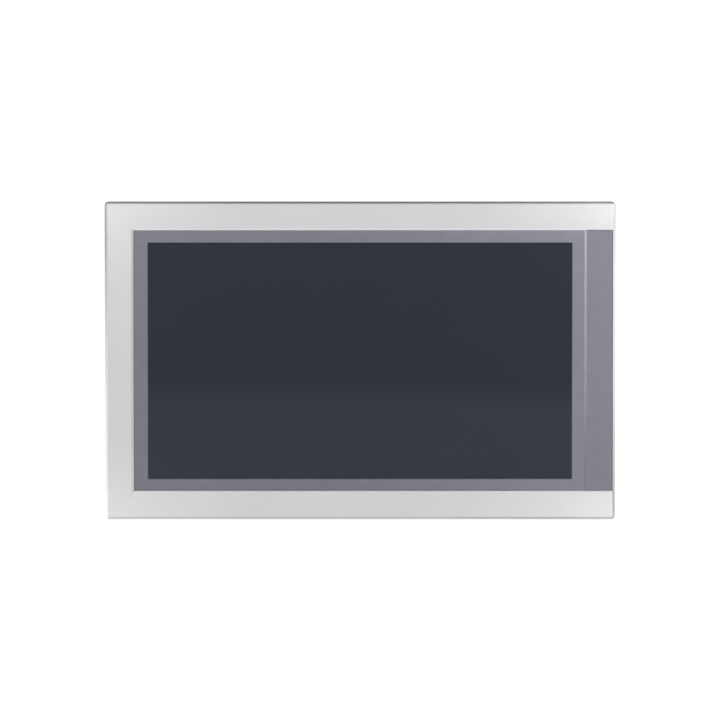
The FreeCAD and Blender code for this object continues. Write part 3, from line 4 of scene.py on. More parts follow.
import bmesh
import bpy
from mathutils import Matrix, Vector


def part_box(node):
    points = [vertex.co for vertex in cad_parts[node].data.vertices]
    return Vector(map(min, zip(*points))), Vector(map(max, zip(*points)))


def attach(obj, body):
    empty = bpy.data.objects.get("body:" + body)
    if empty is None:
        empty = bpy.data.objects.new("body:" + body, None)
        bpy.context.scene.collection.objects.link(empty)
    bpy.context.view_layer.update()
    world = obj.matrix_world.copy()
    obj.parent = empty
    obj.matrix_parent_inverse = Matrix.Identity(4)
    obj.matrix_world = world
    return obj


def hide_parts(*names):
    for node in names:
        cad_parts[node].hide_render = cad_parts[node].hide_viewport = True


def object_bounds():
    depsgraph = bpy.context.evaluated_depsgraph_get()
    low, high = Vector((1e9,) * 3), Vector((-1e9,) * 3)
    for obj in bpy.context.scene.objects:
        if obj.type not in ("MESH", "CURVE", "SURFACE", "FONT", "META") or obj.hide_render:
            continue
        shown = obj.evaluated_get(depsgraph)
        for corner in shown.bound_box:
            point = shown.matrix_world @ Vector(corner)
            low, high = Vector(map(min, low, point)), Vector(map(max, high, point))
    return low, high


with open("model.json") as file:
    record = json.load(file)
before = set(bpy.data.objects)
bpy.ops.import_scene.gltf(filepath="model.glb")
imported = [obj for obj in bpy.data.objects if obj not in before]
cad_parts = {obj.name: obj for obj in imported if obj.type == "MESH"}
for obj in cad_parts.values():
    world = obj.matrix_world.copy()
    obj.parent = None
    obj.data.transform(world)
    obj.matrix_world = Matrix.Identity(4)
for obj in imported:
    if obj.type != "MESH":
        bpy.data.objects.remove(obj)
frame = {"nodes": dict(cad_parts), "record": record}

CAD_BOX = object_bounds()
NODES = frame["nodes"]
MM = 0.001
ROOT = "unit"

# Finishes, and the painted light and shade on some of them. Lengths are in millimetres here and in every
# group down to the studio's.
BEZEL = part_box("front_bezel")
BEZEL_METAL = 0.35  # how metallic its coat looks
RIM_INSIDE = 2.7    # from the bezel's edge to where the painted shade and highlights of its rim begin
RIM_OUTSIDE = 1.6   # from the bezel's edge to where the rim's painted shade and highlights are at their full tone
SLOPE_WIDTH = 1.8   # of the side strip's sloping edge
SCREEN_COLOUR = (0.0090, 0.0133, 0.0248)
# The paler colour of the painted reflection across the screen's lowest quarter.
SCREEN_REFLECTION_COLOUR = (0.0173, 0.0224, 0.0350)
SCREEN_REFLECTION_LEVELS = (-41, -18)  # the levels between which the screen goes from its paler painted reflection, below, to its own colour
# The painted shade of the bezel's top rim and the painted highlight of its lower inner bevel, as multiples
# of its colour.
TOP_RIM_PAINTED_SHADE = 0.58
LOWER_BEVEL_PAINTED_HIGHLIGHT = 1.65
TRACK_SCALE = 120  # of the board's tracks, which are a brick texture
TRACK_GAP = 0.08

# The clamping screws: an M4 thread, a knurled head and a pivot that turns in the pad.
CREST_RADIUS = 2.0
ROOT_RADIUS = 1.6
PITCH = 0.7
KNURL_RADIUS = 3.5
KNURL_DEPTH = 0.14
KNURL_COUNT = 36
KNURL_LENGTH = 3.6
CLAMP_SOCKET = 3.0  # across its flats
PIVOT_LENGTH = 2.4

# The button-head screws of the rear. Their places are (x, z).
BUTTON_RADIUS = 2.8
BUTTON_RISE = 2.4
BUTTON_SHANK = 1.5   # its radius
BUTTON_SOCKET = 2.0  # across its flats
HOUSING_SCREWS = [(192.5 * i, z * j) for i in (-1, 1) for j in (-1, 1) for z in (36, 114.9)]
HOUSING_SCREWS += [(64 * i, 114.9 * j) for i in (-1, 1) for j in (-1, 1)]
SINK_SCREWS = [(90 * i, 6 + 69 * j) for i in (-1, 1) for j in (-1, 0, 1)]

# The network sockets. A contact's path is (y, z) places, and a window's x is from the socket's middle.
LAN_X = (-6, 13)
LAN_PINS = 8
LAN_PITCH = 1.02
LAN_CONTACT_PATH = [(42.3, -85.0), (41.6, -83.6), (39.4, -76.5), (39.9, -75.6)]
LAN_CONTACT_HALF = 0.22           # half its width
LAN_CONTACT_THICK = (0.22, 0.08)  # along y and z
LAN_WINDOW_X = (4.6, 7.2)
LAN_WINDOW_Y = (42.95, 44.0)
LAN_WINDOW_Z = (-86.75, -86.2)

# The USB sockets. The tongues lie one behind the other, and the service port has a tongue of its own.
USB_X = 34
USB_TONGUES = (35.0, 42.1)  # where each starts in y
USB_TONGUE_HALF = 5.68      # half its width
USB_TONGUE_THICK = 1.86
USB_TONGUE_Z = (-85.75, -74.8)
USB_CONTACTS = (-3.5, -1.0, 1.0, 3.5)  # their x, from the socket's middle
USB_CONTACT_HALF = 0.5
USB_CONTACT_Z = (-85.0, -76.5)
SERVICE_TONGUE = ((49.6, 32.8, -86.3), (54.4, 33.5, -78.0))

# The serial ports. A row is its distance from the port's middle and its count of pins.
SERIAL_X = (-76, -38)
SERIAL_LEVEL = 37.6
SERIAL_PITCH = 2.77
SERIAL_ROWS = [(1.42, 5), (-1.42, 4)]
SERIAL_PIN = [(-91.3, 0.01), (-91.25, 0.25), (-91.0, 0.46), (-90.7, 0.54), (-87.6, 0.54)]  # level, radius

# The rows of small parts on the back of the board, as (x, z) places.
BOARD_BACK = 31.0
BOARD_SPOTS = [(x, z) for x in range(110, 148, 7) for z in range(-56, 14, 6)]
BOARD_SPOTS += [(x, z) for x in range(-150, -114, 6) for z in (20, 57)]
BOARD_SPOTS += [(x, 15) for x in range(133, 158, 6)]

# The studio, in metres and watts. A corner light is its name, its side, up or down, and its power.
FLOOR_DROP = 0.25
FLOOR_SIZE = 60
HORIZON_LIGHT = 0.35
OVERHEAD_LIGHT = 0.04
SEEN_WHITE = 1.1
CORNER_LIGHTS = [("top_left", -1, 1, 0.12), ("top_right", 1, 1, 0.20),
                 ("bottom_left", -1, -1, 0.08), ("bottom_right", 1, -1, 0.13)]
LENS = 250.0            # in millimetres
SENSOR = 36.0           # in millimetres
PICTURE_WIDTH = 0.5923  # at the object
CAMERA_ELEVATION = 3    # in degrees
AIM_LEVEL = 0.0007


# ------------------------------ materials


class Shader:
    """One procedural material, built round a Principled BSDF."""

    def __init__(self, name, colour, roughness, metallic=0.0, **sockets):
        self.name = name
        self.material = bpy.data.materials.new(name)
        self.material.use_nodes = True
        self.tree = self.material.node_tree
        self.bsdf = self.tree.nodes["Principled BSDF"]
        self.colour = colour
        self.roughness = roughness
        self.bsdf.inputs["Base Color"].default_value = (*colour, 1)
        self.bsdf.inputs["Roughness"].default_value = roughness
        self.bsdf.inputs["Metallic"].default_value = metallic
        for socket, value in sockets.items():
            self.bsdf.inputs[socket.replace("_", " ")].default_value = value
        self.place = self.node("ShaderNodeTexCoord").outputs["Object"]

    def node(self, kind, **settings):
        made = self.tree.nodes.new(kind)
        for key, value in settings.items():
            setattr(made, key, value)
        return made

    def link(self, output, target):
        self.tree.links.new(output, target)

    def noise(self, size, detail=3.0, stretch=(1, 1, 1)):
        """Noise whose features are about this many millimetres across, stretched along the axes."""
        mapping = self.node("ShaderNodeMapping")
        mapping.inputs["Scale"].default_value = [1 / axis for axis in stretch]
        self.link(self.place, mapping.inputs["Vector"])
        made = self.node("ShaderNodeTexNoise")
        made.inputs["Scale"].default_value = 1 / (size * MM)
        made.inputs["Detail"].default_value = detail
        self.link(mapping.outputs["Vector"], made.inputs["Vector"])
        return made.outputs["Fac"]

    def cells(self, size):
        """A random value for each small cell, about this many millimetres across."""
        made = self.node("ShaderNodeTexVoronoi")
        made.inputs["Scale"].default_value = 1 / (size * MM)
        self.link(self.place, made.inputs["Vector"])
        split = self.node("ShaderNodeSeparateColor")
        self.link(made.outputs["Color"], split.inputs["Color"])
        return split.outputs["Red"]

    def spread(self, value, low, high, from_low=0.3, from_high=0.7):
        """Stretches a range of values to another range, and holds the values beyond it at its ends."""
        made = self.node("ShaderNodeMapRange")
        made.inputs["From Min"].default_value = from_low
        made.inputs["From Max"].default_value = from_high
        made.inputs["To Min"].default_value = low
        made.inputs["To Max"].default_value = high
        self.link(value, made.inputs["Value"])
        return made.outputs["Result"]

    def grade(self, value, first, last):
        """Goes from one colour to another as the value goes from 0 to 1. Tints come after it."""
        made = self.node("ShaderNodeMix", data_type="RGBA")
        made.inputs["A"].default_value = (*first, 1)
        made.inputs["B"].default_value = (*last, 1)
        self.link(value, made.inputs["Factor"])
        self.link(made.outputs["Result"], self.bsdf.inputs["Base Color"])

    def tint(self, value, darker, lighter, from_low=0.3, from_high=0.7):
        """Varies the colour between two multiples of itself. Each call works on the result of the last."""
        base = self.bsdf.inputs["Base Color"]
        if not base.is_linked:
            self.grade(self.spread(value, 0, 1, from_low, from_high),
                       [share * darker for share in self.colour], [share * lighter for share in self.colour])
            return self
        scale = self.node("ShaderNodeVectorMath", operation="SCALE")
        self.link(base.links[0].from_socket, scale.inputs["Vector"])
        self.link(self.spread(value, darker, lighter, from_low, from_high), scale.inputs["Scale"])
        self.link(scale.outputs["Vector"], base)
        return self

    def along(self, axis, low, high, start=0, end=1):
        """Goes from one value to another between two places, in millimetres, along an axis of the object."""
        split = self.node("ShaderNodeSeparateXYZ")
        self.link(self.place, split.inputs["Vector"])
        return self.spread(split.outputs[axis], start, end, low * MM, high * MM)

    def facing(self, axis):
        """How far the surface faces along an axis of the object."""
        split = self.node("ShaderNodeSeparateXYZ")
        self.link(self.node("ShaderNodeTexCoord").outputs["Normal"], split.inputs["Vector"])
        return split.outputs[axis]

    def shade(self, mask, tone):
        """Multiplies the colour by a tone, a socket or a number, where the mask is 1."""
        change = self.math("SUBTRACT", tone, 1.0)
        amount = self.math("MULTIPLY_ADD", mask, change, 1.0)
        return self.tint(amount, darker=0, lighter=2, from_low=0, from_high=2)

    def math(self, operation, *values):
        """A sum on up to three values, each a socket or a number."""
        made = self.node("ShaderNodeMath", operation=operation)
        for value, target in zip(values, made.inputs):
            if isinstance(value, (int, float)):
                target.default_value = value
            else:
                self.link(value, target)
        return made.outputs["Value"]

    def rough(self, value, change):
        """Varies the roughness by this much each way."""
        self.link(self.spread(value, self.roughness - change, self.roughness + change),
                  self.bsdf.inputs["Roughness"])
        return self

    def bump(self, value, height, strength=1.0):
        """Raises the surface by up to this many millimetres."""
        made = self.node("ShaderNodeBump")
        made.inputs["Strength"].default_value = strength
        made.inputs["Distance"].default_value = height * MM
        self.link(value, made.inputs["Height"])
        if self.bsdf.inputs["Normal"].is_linked:
            self.link(self.bsdf.inputs["Normal"].links[0].from_socket, made.inputs["Normal"])
        self.link(made.outputs["Normal"], self.bsdf.inputs["Normal"])
        return self


def moulded(name, colour, roughness=0.55, grain=0.35, height=0.03):
    """Injection-moulded plastic with a fine eroded texture."""
    shader = Shader(name, colour, roughness)
    shader.tint(shader.noise(18), 0.93, 1.07)
    shader.rough(shader.noise(6), 0.06)
    return shader.bump(shader.noise(grain, 2.0), height)


def sheet_metal(name, colour, roughness=0.38, stretch=(12, 1, 1)):
    """Rolled or drawn metal with a faint grain along one axis."""
    shader = Shader(name, colour, roughness, metallic=1.0)
    shader.tint(shader.noise(22), 0.92, 1.06)
    shader.rough(shader.noise(0.6, 4.0, stretch), 0.10)
    return shader.bump(shader.noise(0.35, 3.0, stretch), 0.006)


def bezel_metal():
    """Silver powder coat with a fine flake and the slight waviness of the spray."""
    shader = Shader("bezel_metal", (0.58, 0.575, 0.585), 0.42)
    shader.tint(shader.cells(0.16), 0.95, 1.05)
    shader.tint(shader.noise(1.6), 0.985, 1.015)
    shader.tint(shader.noise(70, 1.0), 0.985, 1.015)
    # Painted light and shade on top of the coat: paler corners, a darker left side, dark and bright rims, a
    # bright lower bevel.
    shade_bezel(shader)
    shader.rough(shader.noise(0.5), 0.05)
    return shader.bump(shader.noise(0.9, 2.0), 0.012)


def shade_bezel(shader):
    """Painted light and shade: paler corners, a left side a little darker, a rim with painted shade or
    highlight by place, and a painted highlight on the lower inner bevel.
    """
    wide, high = BEZEL[1].x / MM, BEZEL[1].z / MM
    from_middle = shader.math("ABSOLUTE", shader.along("X", -wide, wide, -1, 1))
    from_level = shader.math("ABSOLUTE", shader.along("Z", -high, high, -1, 1))
    near_corner = shader.math("MULTIPLY", from_middle, from_level)
    shader.tint(near_corner, 0.965, 1.05, from_low=0.45, from_high=0.9)
    painted_left_shade = shader.along("X", -wide, 0)
    shader.tint(painted_left_shade, 0.965, 1.0, from_low=0, from_high=1)
    top = shader.along("Z", high - RIM_INSIDE, high - RIM_OUTSIDE)
    bottom = shader.along("Z", RIM_INSIDE - high, RIM_OUTSIDE - high)
    left = shader.along("X", RIM_INSIDE - wide, RIM_OUTSIDE - wide)
    right = shader.along("X", wide - RIM_INSIDE, wide - RIM_OUTSIDE)
    shader.shade(top, TOP_RIM_PAINTED_SHADE)
    shader.shade(bottom, shader.along("X", 50, 150, start=0.74, end=0.6))
    shader.shade(left, shader.along("Z", -35, 100, start=1.41, end=0.6))
    shader.shade(right, shader.along("Z", -120, -10, start=0.65, end=1.4))
    shader.shade(right, shader.along("Z", 80, 115, start=1.0, end=0.75))
    faces_up = shader.spread(shader.facing("Z"), 0, 1, 0.3, 0.5)
    lower_bevel_highlight = shader.math("MULTIPLY", faces_up, shader.along("Z", 10, 0))
    shader.shade(lower_bevel_highlight, LOWER_BEVEL_PAINTED_HIGHLIGHT)
    shader.link(shader.spread(lower_bevel_highlight, BEZEL_METAL, 0, 0, 1), shader.bsdf.inputs["Metallic"])


def film(name, colour):
    """Matt polyester film with a fine velvet texture."""
    shader = Shader(name, colour, 0.5, Specular_IOR_Level=0.35)
    shader.tint(shader.noise(9, 4.0), 0.96, 1.04)
    shader.tint(shader.cells(0.25), 0.97, 1.03)
    shader.rough(shader.noise(0.4), 0.05)
    return shader.bump(shader.noise(0.22, 2.0), 0.010)


def sheet_film():
    """The film of the front sheet, with painted shade that makes it a little darker towards its lower left.
    """
    shader = film("grey_film", (0.185, 0.182, 0.215))
    painted_shade_across = shader.along("X", -40, 178)
    painted_shade_up = shader.along("Z", -105, 105)
    shader.tint(painted_shade_across, 0.885, 1.07, from_low=0, from_high=1)
    return shader.tint(painted_shade_up, 0.94, 1.04, from_low=0, from_high=1)


def strip_film():
    """The film of the side strip, with a painted highlight on its sloping left edge, brightest high up, and
    painted shade towards its foot.
    """
    shader = film("strip_film", (0.200, 0.197, 0.232))
    # Painted shade: darker towards the foot.
    foot = shader.along("Z", -80, -20)
    shader.tint(foot, 0.86, 0.965, from_low=0, from_high=1)
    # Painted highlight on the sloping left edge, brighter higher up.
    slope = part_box("side_strip")[0].x / MM
    on_slope = shader.math("LESS_THAN", shader.along("X", slope, slope + SLOPE_WIDTH), 1.0)
    height = shader.along("Z", -100, 100)
    slope_highlight = shader.math("MULTIPLY", on_slope, height)
    return shader.tint(slope_highlight, 1.0, 2.1, from_low=0, from_high=1)


def screen_film():
    """The anti-glare touch surface over a display that is off. Its lowest quarter is painted paler: a
    painted reflection.
    """
    shader = Shader("screen_film", SCREEN_COLOUR, 0.42, Specular_IOR_Level=0.22)
    # Painted reflection: paler below the levels of SCREEN_REFLECTION_LEVELS.
    shader.grade(shader.along("Z", *SCREEN_REFLECTION_LEVELS), SCREEN_REFLECTION_COLOUR, SCREEN_COLOUR)
    shader.tint(shader.noise(90, 1.0), 0.96, 1.04)
    shader.rough(shader.noise(0.3), 0.03)
    return shader.bump(shader.noise(0.14, 2.0), 0.003)


def heat_sink_metal():
    """Extruded, anodised aluminium with the lines of the die along the fins."""
    return sheet_metal("sink_aluminium", (0.50, 0.51, 0.53), 0.42, (1, 1, 40))


def cast_metal():
    """Die-cast zinc with the mottle of its skin."""
    shader = Shader("cast_clamp", (0.42, 0.43, 0.44), 0.5, metallic=1.0)
    shader.tint(shader.noise(3), 0.85, 1.1)
    shader.rough(shader.noise(0.8), 0.1)
    return shader.bump(shader.noise(0.5, 3.0), 0.03)


def circuit_board():
    """Solder mask with the faint relief of the tracks under it."""
    shader = Shader("green_board", (0.012, 0.10, 0.045), 0.35)
    tracks = shader.node("ShaderNodeTexBrick")
    tracks.inputs["Scale"].default_value = TRACK_SCALE
    tracks.inputs["Mortar Size"].default_value = TRACK_GAP
    turn = shader.node("ShaderNodeMapping")
    turn.inputs["Rotation"].default_value = (math.radians(90), 0, 0)
    shader.link(shader.place, turn.inputs["Vector"])
    shader.link(turn.outputs["Vector"], tracks.inputs["Vector"])
    shader.tint(tracks.outputs["Fac"], 1.0, 1.5)
    return shader.bump(tracks.outputs["Fac"], 0.02)


def rubber(name, colour, roughness):
    """Rubber or foam with a fine grain."""
    shader = Shader(name, colour, roughness)
    shader.tint(shader.noise(5), 0.85, 1.15)
    return shader.bump(shader.noise(0.4), 0.03)


def clear(name, colour, transmission):
    """Glass or clear plastic."""
    shader = Shader(name, colour, 0.12, Transmission_Weight=transmission, IOR=1.5)
    return shader.rough(shader.noise(4), 0.03)


def build_materials():
    """One material for each slot of the record."""
    made = [
        bezel_metal(), screen_film(), heat_sink_metal(), cast_metal(), circuit_board(),
        sheet_film(), strip_film(),
        rubber("seal_rubber", (0.02, 0.02, 0.021), 0.7),
        rubber("foam", (0.03, 0.03, 0.03), 0.9),
        rubber("black_tape", (0.015, 0.015, 0.015), 0.5),
        clear("touch_glass", (0.75, 0.82, 0.80), 0.85),
        clear("clear_acrylic", (0.85, 0.88, 0.90), 0.8),
        clear("lcd_glass", (0.015, 0.015, 0.022), 0.0),
        moulded("flex_film", (0.35, 0.15, 0.03), 0.3, 0.8, 0.01),
        moulded("white_board", (0.75, 0.75, 0.73), 0.35, 0.5, 0.01),
        moulded("chip_black", (0.02, 0.02, 0.022), 0.45, 0.12, 0.01),
        moulded("ferrite", (0.045, 0.045, 0.05), 0.6, 0.3, 0.03),
        moulded("green_plastic", (0.025, 0.26, 0.09), 0.38, 0.4, 0.012),
        moulded("black_insert", (0.02, 0.02, 0.021), 0.42, 0.4, 0.012),
        moulded("red_plastic", (0.42, 0.03, 0.02), 0.35, 0.4, 0.01),
        moulded("white_plastic", (0.74, 0.74, 0.71), 0.38, 0.4, 0.01),
        moulded("pad_plastic", (0.03, 0.03, 0.032), 0.5, 0.4, 0.02),
        moulded("housing_plastic", (0.040, 0.042, 0.045), 0.52, 0.45, 0.05),
        sheet_metal("stamped_steel", (0.50, 0.50, 0.50)),
        sheet_metal("zinc_steel", (0.46, 0.48, 0.50)),
        sheet_metal("screw_steel", (0.50, 0.50, 0.51), 0.3, (1, 1, 1)),
        sheet_metal("brass_pillar", (0.62, 0.44, 0.18), 0.3, (1, 1, 1)),
        sheet_metal("plain_aluminium", (0.68, 0.69, 0.70), 0.35, (1, 1, 8)),
        sheet_metal("capacitor_can", (0.55, 0.56, 0.60), 0.28, (1, 6, 1)),
        sheet_metal("plated_shell", (0.58, 0.58, 0.55), 0.28, (1, 1, 6)),
        sheet_metal("battery_steel", (0.40, 0.40, 0.41), 0.32, (1, 1, 1)),
        sheet_metal("black_steel", (0.05, 0.05, 0.053), 0.36, (1, 1, 1)),
        sheet_metal("gold_contact", (0.75, 0.52, 0.17), 0.22, (1, 1, 4)),
    ]
    return {shader.name: shader.material for shader in made}


MATERIALS = build_materials()


def paint_nodes():
    """Gives every CAD node the material of its slot."""
    for part in frame["record"]["subparts"]:
        mesh = NODES[part["node"]].data
        mesh.materials.clear()
        mesh.materials.append(MATERIALS[part["material_slot"]])


def ease_edges(width, *names):
    """Rounds the sharp edges of CAD nodes a little, as a mould or a deburring tool does."""
    for name in names:
        weld = NODES[name].modifiers.new("shared corners", "WELD")
        weld.merge_threshold = 0.001 * MM
        bevel = NODES[name].modifiers.new("eased edges", "BEVEL")
        bevel.width = width * MM
        bevel.segments = 2
        bevel.limit_method = "ANGLE"
        bevel.angle_limit = math.radians(40)
        bevel.harden_normals = True
        bevel.use_clamp_overlap = True


# ------------------------------ shapes for the detail pieces, in millimetres


def block(mesh, low, high, ease=0.12):
    """A box between two corners, with eased edges."""
    corners = bmesh.ops.create_cube(mesh, size=1)["verts"]
    for corner in corners:
        corner.co = [(a + b) / 2 * MM + share * (b - a) * MM for a, b, share in zip(low, high, corner.co)]
    edges = {edge for corner in corners for edge in corner.link_edges}
    bmesh.ops.bevel(mesh, geom=list(edges), offset=ease * MM, segments=2, affect="EDGES", profile=0.5)


def skin(mesh, rings, closed=True):
    """Joins rows of points with four-sided faces. Each row is a list of points in millimetres."""
    rows = [[mesh.verts.new(Vector(point) * MM) for point in ring] for ring in rings]
    for lower, upper in zip(rows, rows[1:]):
        steps = range(len(lower) if closed else len(lower) - 1)
        for step in steps:
            after = (step + 1) % len(lower)
            mesh.faces.new((lower[step], lower[after], upper[after], upper[step]))


def turned(mesh, centre, profile, axis="Y", count=48):
    """A shape turned about an axis. The profile is (level, radius) pairs, and a radius may vary by angle."""
    rings = []
    for level, radius in profile:
        ring = []
        for step in range(count):
            angle = 2 * math.pi * step / count
            reach = radius(angle) if callable(radius) else radius
            across, up = reach * math.cos(angle), reach * math.sin(angle)
            if axis == "Y":
                ring.append((centre[0] + across, level, centre[1] - up))
            else:
                ring.append((centre[0] + across, centre[1] + up, level))
        rings.append(ring)
    skin(mesh, rings)


def hexagon(flats):
    """The radius of a hexagon at each angle."""
    return lambda angle: flats / 2 / math.cos((angle + math.pi / 6) % (math.pi / 3) - math.pi / 6)


def fluted(radius, depth, count):
    """The radius of a knurled rim at each angle."""
    return lambda angle: radius - depth * (1 - math.cos(count * angle)) / 2


def thread(mesh, centre, start, end, crest, root, pitch, steps=24):
    """A right-hand thread about the Y axis, with a flat crest and a sharp root."""
    rows = []
    for step in range(round((end - start) / pitch * steps) + 1):
        angle = 2 * math.pi * step / steps
        level = start + pitch * step / steps
        row = []
        for share, radius in ((0, root), (0.38, crest), (0.62, crest), (1, root)):
            y = min(level + pitch * share, end)
            row.append((centre[0] + radius * math.cos(angle), y, centre[1] - radius * math.sin(angle)))
        rows.append(row)
    skin(mesh, rows, closed=False)


def finish_piece(mesh, name, slot, body=ROOT, stands_for=(), smooth=30):
    """Turns a mesh into a piece that rides a body and takes the finish of a slot."""
    bmesh.ops.recalc_face_normals(mesh, faces=mesh.faces)
    data = bpy.data.meshes.new(name)
    mesh.to_mesh(data)
    mesh.free()
    data.shade_smooth()
    data.set_sharp_from_angle(angle=math.radians(smooth))
    data.materials.append(MATERIALS[slot])
    piece = bpy.data.objects.new(name, data)
    bpy.context.scene.collection.objects.link(piece)
    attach(piece, body)
    if stands_for:
        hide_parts(*stands_for)


# ------------------------------ the detail pieces


def middle(node):
    """The middle of a CAD node in X and Z, in millimetres."""
    low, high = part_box(node)
    return ((low.x + high.x) / 2 / MM, (low.z + high.z) / 2 / MM)


def clamp_screws():
    """The six clamping screws: a real thread, a knurled head with a hexagon socket, and a turned pivot."""
    for number in range(1, 7):
        node = f"clamp_screw_{number}"
        low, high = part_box(node)
        tip, top = low.y / MM, high.y / MM
        centre = middle(node)
        shoulder, seat = tip + PIVOT_LENGTH, top - KNURL_LENGTH
        rim, socket = fluted(KNURL_RADIUS, KNURL_DEPTH, KNURL_COUNT), hexagon(CLAMP_SOCKET)
        mesh = bmesh.new()
        turned(mesh, centre, [(tip, 0.01), (tip, 1.2), (tip + 0.2, 1.4), (shoulder, 1.4)])
        turned(mesh, centre, [(shoulder, 1.4), (shoulder, ROOT_RADIUS), (shoulder + 0.3, 1.9)])
        thread(mesh, centre, shoulder + 0.1, seat, CREST_RADIUS, ROOT_RADIUS, PITCH)
        turned(mesh, centre, [(seat, ROOT_RADIUS), (seat, 3.3), (seat + 0.2, rim), (top - 0.45, rim),
                              (top, 3.05), (top, hexagon(CLAMP_SOCKET + 0.4)), (top - 0.2, socket),
                              (top - 2, socket), (top - 2.3, 0.01)], count=72)
        finish_piece(mesh, f"clamp_thread_{number}", "black_steel", node, [node])


def button_head(mesh, centre, tip, top):
    """A button-head screw with a hexagon socket and a plain shank."""
    seat = top - BUTTON_RISE
    socket = hexagon(BUTTON_SOCKET)
    dome = [(seat + BUTTON_RISE * rise, BUTTON_RADIUS * share)
            for rise, share in ((0.35, 1), (0.7, 0.86), (0.92, 0.66), (1, 0.52))]
    turned(mesh, centre, [(tip, 0.01), (tip, 1.2), (tip + 0.3, BUTTON_SHANK), (seat, BUTTON_SHANK),
                          (seat, BUTTON_RADIUS - 0.1), (seat + 0.1, BUTTON_RADIUS), *dome,
                          (top, hexagon(BUTTON_SOCKET + 0.2)), (top - 0.15, socket), (top - 1.3, socket),
                          (top - 1.5, 0.01)])


def rear_screws():
    """The screws of the housing, deep in their wells, and those of the heat sink."""
    for node, name, places in (("housing_screws", "housing_buttons", HOUSING_SCREWS),
                               ("heat_sink_screws", "sink_buttons", SINK_SCREWS)):
        low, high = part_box(node)
        mesh = bmesh.new()
        for centre in places:
            button_head(mesh, centre, low.y / MM, high.y / MM)
        finish_piece(mesh, name, "screw_steel", stands_for=[node])


def lan_details():
    """Sprung contacts inside the network sockets, and two light windows above each."""
    contacts, green, amber = bmesh.new(), bmesh.new(), bmesh.new()
    near, far = LAN_WINDOW_X
    front, back = LAN_WINDOW_Y
    foot, head = LAN_WINDOW_Z
    thick_y, thick_z = LAN_CONTACT_THICK
    for x in LAN_X:
        for pin in range(LAN_PINS):
            centre = x + LAN_PITCH * (pin - (LAN_PINS - 1) / 2)
            left, right = centre - LAN_CONTACT_HALF, centre + LAN_CONTACT_HALF
            rings = []
            for y, z in LAN_CONTACT_PATH:
                rings.append([(left, y, z), (right, y, z),
                              (right, y - thick_y, z - thick_z), (left, y - thick_y, z - thick_z)])
            skin(contacts, rings)
        block(green, (x - far, front, foot), (x - near, back, head), ease=0.08)
        block(amber, (x + near, front, foot), (x + far, back, head), ease=0.08)
    finish_piece(contacts, "lan_contacts", "brass_pillar")
    finish_piece(green, "lan_link_windows", "green_plastic")
    finish_piece(amber, "lan_speed_windows", "flex_film")


def usb_details():
    """Moulded tongues over the metal ones in the USB sockets, with four contacts each."""
    tongues, contacts = bmesh.new(), bmesh.new()
    tongue_foot, tongue_head = USB_TONGUE_Z
    contact_foot, contact_head = USB_CONTACT_Z
    for low in USB_TONGUES:
        block(tongues, (USB_X - USB_TONGUE_HALF, low - 0.06, tongue_foot),
              (USB_X + USB_TONGUE_HALF, low + USB_TONGUE_THICK, tongue_head), ease=0.3)
        for offset in USB_CONTACTS:
            x = USB_X + offset
            block(contacts, (x - USB_CONTACT_HALF, low - 0.16, contact_foot),
                  (x + USB_CONTACT_HALF, low + 0.1, contact_head), ease=0.04)
    block(tongues, *SERVICE_TONGUE, ease=0.15)
    finish_piece(tongues, "usb_tongues", "white_plastic")
    finish_piece(contacts, "usb_contacts", "brass_pillar")


def serial_pins():
    """The gilt pins of the two serial ports, with rounded tips."""
    mesh = bmesh.new()
    for x in SERIAL_X:
        for row, count in SERIAL_ROWS:
            for pin in range(count):
                centre = (x + SERIAL_PITCH * (pin - (count - 1) / 2), SERIAL_LEVEL + row)
                turned(mesh, centre, SERIAL_PIN, axis="Z", count=20)
    finish_piece(mesh, "com_pins", "brass_pillar")


def board_parts():
    """Small surface-mounted parts on the back of the board: dark bodies with bright ends."""
    bodies, ends = bmesh.new(), bmesh.new()
    under = BOARD_BACK - 0.05
    for number, (x, z) in enumerate(BOARD_SPOTS):
        long = 1.2 + 0.5 * (number * 7 % 5)
        wide = 0.8 + 0.4 * (number * 3 % 4)
        high = 0.7 + 0.3 * (number * 5 % 3)
        block(bodies, (x - long, under, z - wide), (x + long, BOARD_BACK + high, z + wide), ease=0.1)
        for side in (-1, 1):
            left, right = sorted((x + side * (long - 0.1), x + side * (long + 0.5)))
            foot, head = z - wide * 0.9, z + wide * 0.9
            block(ends, (left, under, foot), (right, BOARD_BACK + high * 0.7, head))
    finish_piece(bodies, "board_chips", "chip_black")
    finish_piece(ends, "board_ends", "stamped_steel")


def battery_face():
    """The ring and the plus sign on the battery's face."""
    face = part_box("battery")[1].y / MM
    under, over = face - 0.05, face + 0.07
    x, z = middle("battery")
    mesh = bmesh.new()
    turned(mesh, (x, z), [(under, 8.2), (over, 8.1), (over, 7.9), (under, 7.8)], count=72)
    for wide, high in ((2.2, 0.3), (0.3, 2.2)):
        block(mesh, (x - wide, under, z - high), (x + wide, over, z + high), ease=0.04)
    finish_piece(mesh, "battery_mark", "battery_steel")


# ------------------------------ light, floor and camera


def area_light(name, place, size, power, aim=(0, 0, 0)):
    """A soft rectangular light that faces a point."""
    data = bpy.data.lights.new(name, "AREA")
    data.shape = "RECTANGLE"
    data.size, data.size_y = size
    data.energy = power
    light = bpy.data.objects.new(name, data)
    light.location = place
    light.rotation_euler = (Vector(aim) - Vector(place)).to_track_quat("-Z", "Y").to_euler()
    bpy.context.scene.collection.objects.link(light)


def floor():
    """A white floor well below the object. It lights the object but doesn't show to the camera."""
    level = CAD_BOX[0].z - FLOOR_DROP
    bpy.ops.mesh.primitive_plane_add(size=FLOOR_SIZE, location=(0, 0, level))
    plane = bpy.context.object
    plane.name = "floor"
    paint = Shader("floor_white", (0.9, 0.9, 0.9), 0.9, Emission_Color=(1, 1, 1, 1), Emission_Strength=1.0)
    plane.data.materials.append(paint.material)
    plane.visible_camera = False


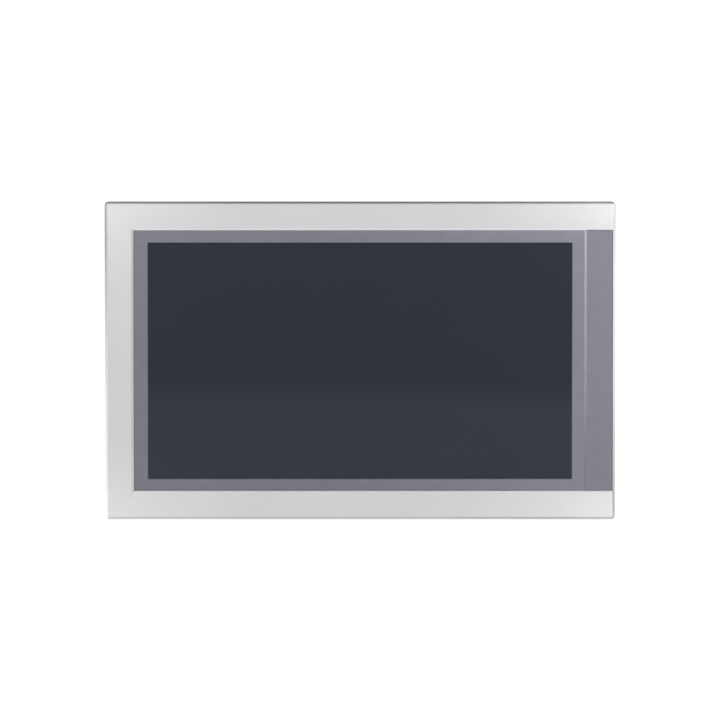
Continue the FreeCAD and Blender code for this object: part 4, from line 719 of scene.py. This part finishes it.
def surroundings():
    """White to the camera. As light it is brightest near the horizon and dim overhead."""
    world = bpy.data.worlds.new("studio")
    bpy.context.scene.world = world
    world.use_nodes = True
    nodes, links = world.node_tree.nodes, world.node_tree.links
    place = nodes.new("ShaderNodeTexCoord")
    split = nodes.new("ShaderNodeSeparateXYZ")
    links.new(place.outputs["Generated"], split.inputs["Vector"])
    height = nodes.new("ShaderNodeMapRange")
    height.inputs["From Min"].default_value = 0.0
    height.inputs["From Max"].default_value = 0.7
    height.inputs["To Min"].default_value = HORIZON_LIGHT
    height.inputs["To Max"].default_value = OVERHEAD_LIGHT
    links.new(split.outputs["Z"], height.inputs["Value"])
    light = nodes["Background"]
    light.inputs["Color"].default_value = (1, 1, 1, 1)
    links.new(height.outputs["Result"], light.inputs["Strength"])
    seen = nodes.new("ShaderNodeBackground")
    seen.inputs["Color"].default_value = (1, 1, 1, 1)
    seen.inputs["Strength"].default_value = SEEN_WHITE
    path = nodes.new("ShaderNodeLightPath")
    mix = nodes.new("ShaderNodeMixShader")
    links.new(path.outputs["Is Camera Ray"], mix.inputs["Fac"])
    links.new(light.outputs["Background"], mix.inputs[1])
    links.new(seen.outputs["Background"], mix.inputs[2])
    links.new(mix.outputs["Shader"], nodes["World Output"].inputs["Surface"])


def lights():
    """A broad light in front, a long one nearer, one at the left, four by the corners and two behind."""
    area_light("front", (0.1, -2.4, 0.1), (2.6, 1.4), 5)
    area_light("front_near", (0.05, -0.8, 0.22), (1.8, 0.15), 1.35, (0, 0, 0.05))
    area_light("left", (-0.9, -0.5, 0.45), (0.3, 0.7), 1.2, (0.1, 0, 0.05))
    for name, side, up, power in CORNER_LIGHTS:
        place = (0.29 * side, -0.18, 0.21 * up)
        area_light(name, place, (0.1, 0.1), power, (0.2 * side, 0, 0.12 * up))
    area_light("back", (0.4, 2.2, 1.2), (2.2, 1.4), 22)
    area_light("back_left", (-1.6, 1.2, 0.3), (1.2, 1.2), 8)


def camera():
    """A long lens in front of the middle of the bezel, looking a little down at it."""
    elevation = math.radians(CAMERA_ELEVATION)
    distance = PICTURE_WIDTH * LENS / SENSOR
    data = bpy.data.cameras.new("camera")
    data.lens = LENS
    data.sensor_width = SENSOR
    data.clip_end = 100
    made = bpy.data.objects.new("camera", data)
    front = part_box("front_bezel")[0].y
    aim = Vector((0, front, AIM_LEVEL))
    made.location = aim + distance * Vector((0, -math.cos(elevation), math.sin(elevation)))
    made.rotation_euler = (aim - made.location).to_track_quat("-Z", "Y").to_euler()
    bpy.context.scene.collection.objects.link(made)
    bpy.context.scene.camera = made


paint_nodes()
ease_edges(0.3, "rear_housing", "power_header")
ease_edges(0.2, "heat_sink", "card_door", "battery_door", "clamp_brackets", "power_plug", "earth_terminal")
ease_edges(0.12, "front_bezel", "com_ports", "lan_ports", "usb_ports", "card_slot")
ease_edges(0.12, "dip_switch", "reset_switch")
ease_edges(0.08, "dip_slider_1", "dip_slider_2", "reset_button", "com_port_inserts", "battery_holder")
clamp_screws()
rear_screws()
lan_details()
usb_details()
serial_pins()
board_parts()
battery_face()
floor()
surroundings()
lights()
camera()
bpy.context.scene.view_settings.view_transform = "Standard"
bpy.context.scene.view_settings.look = "None"
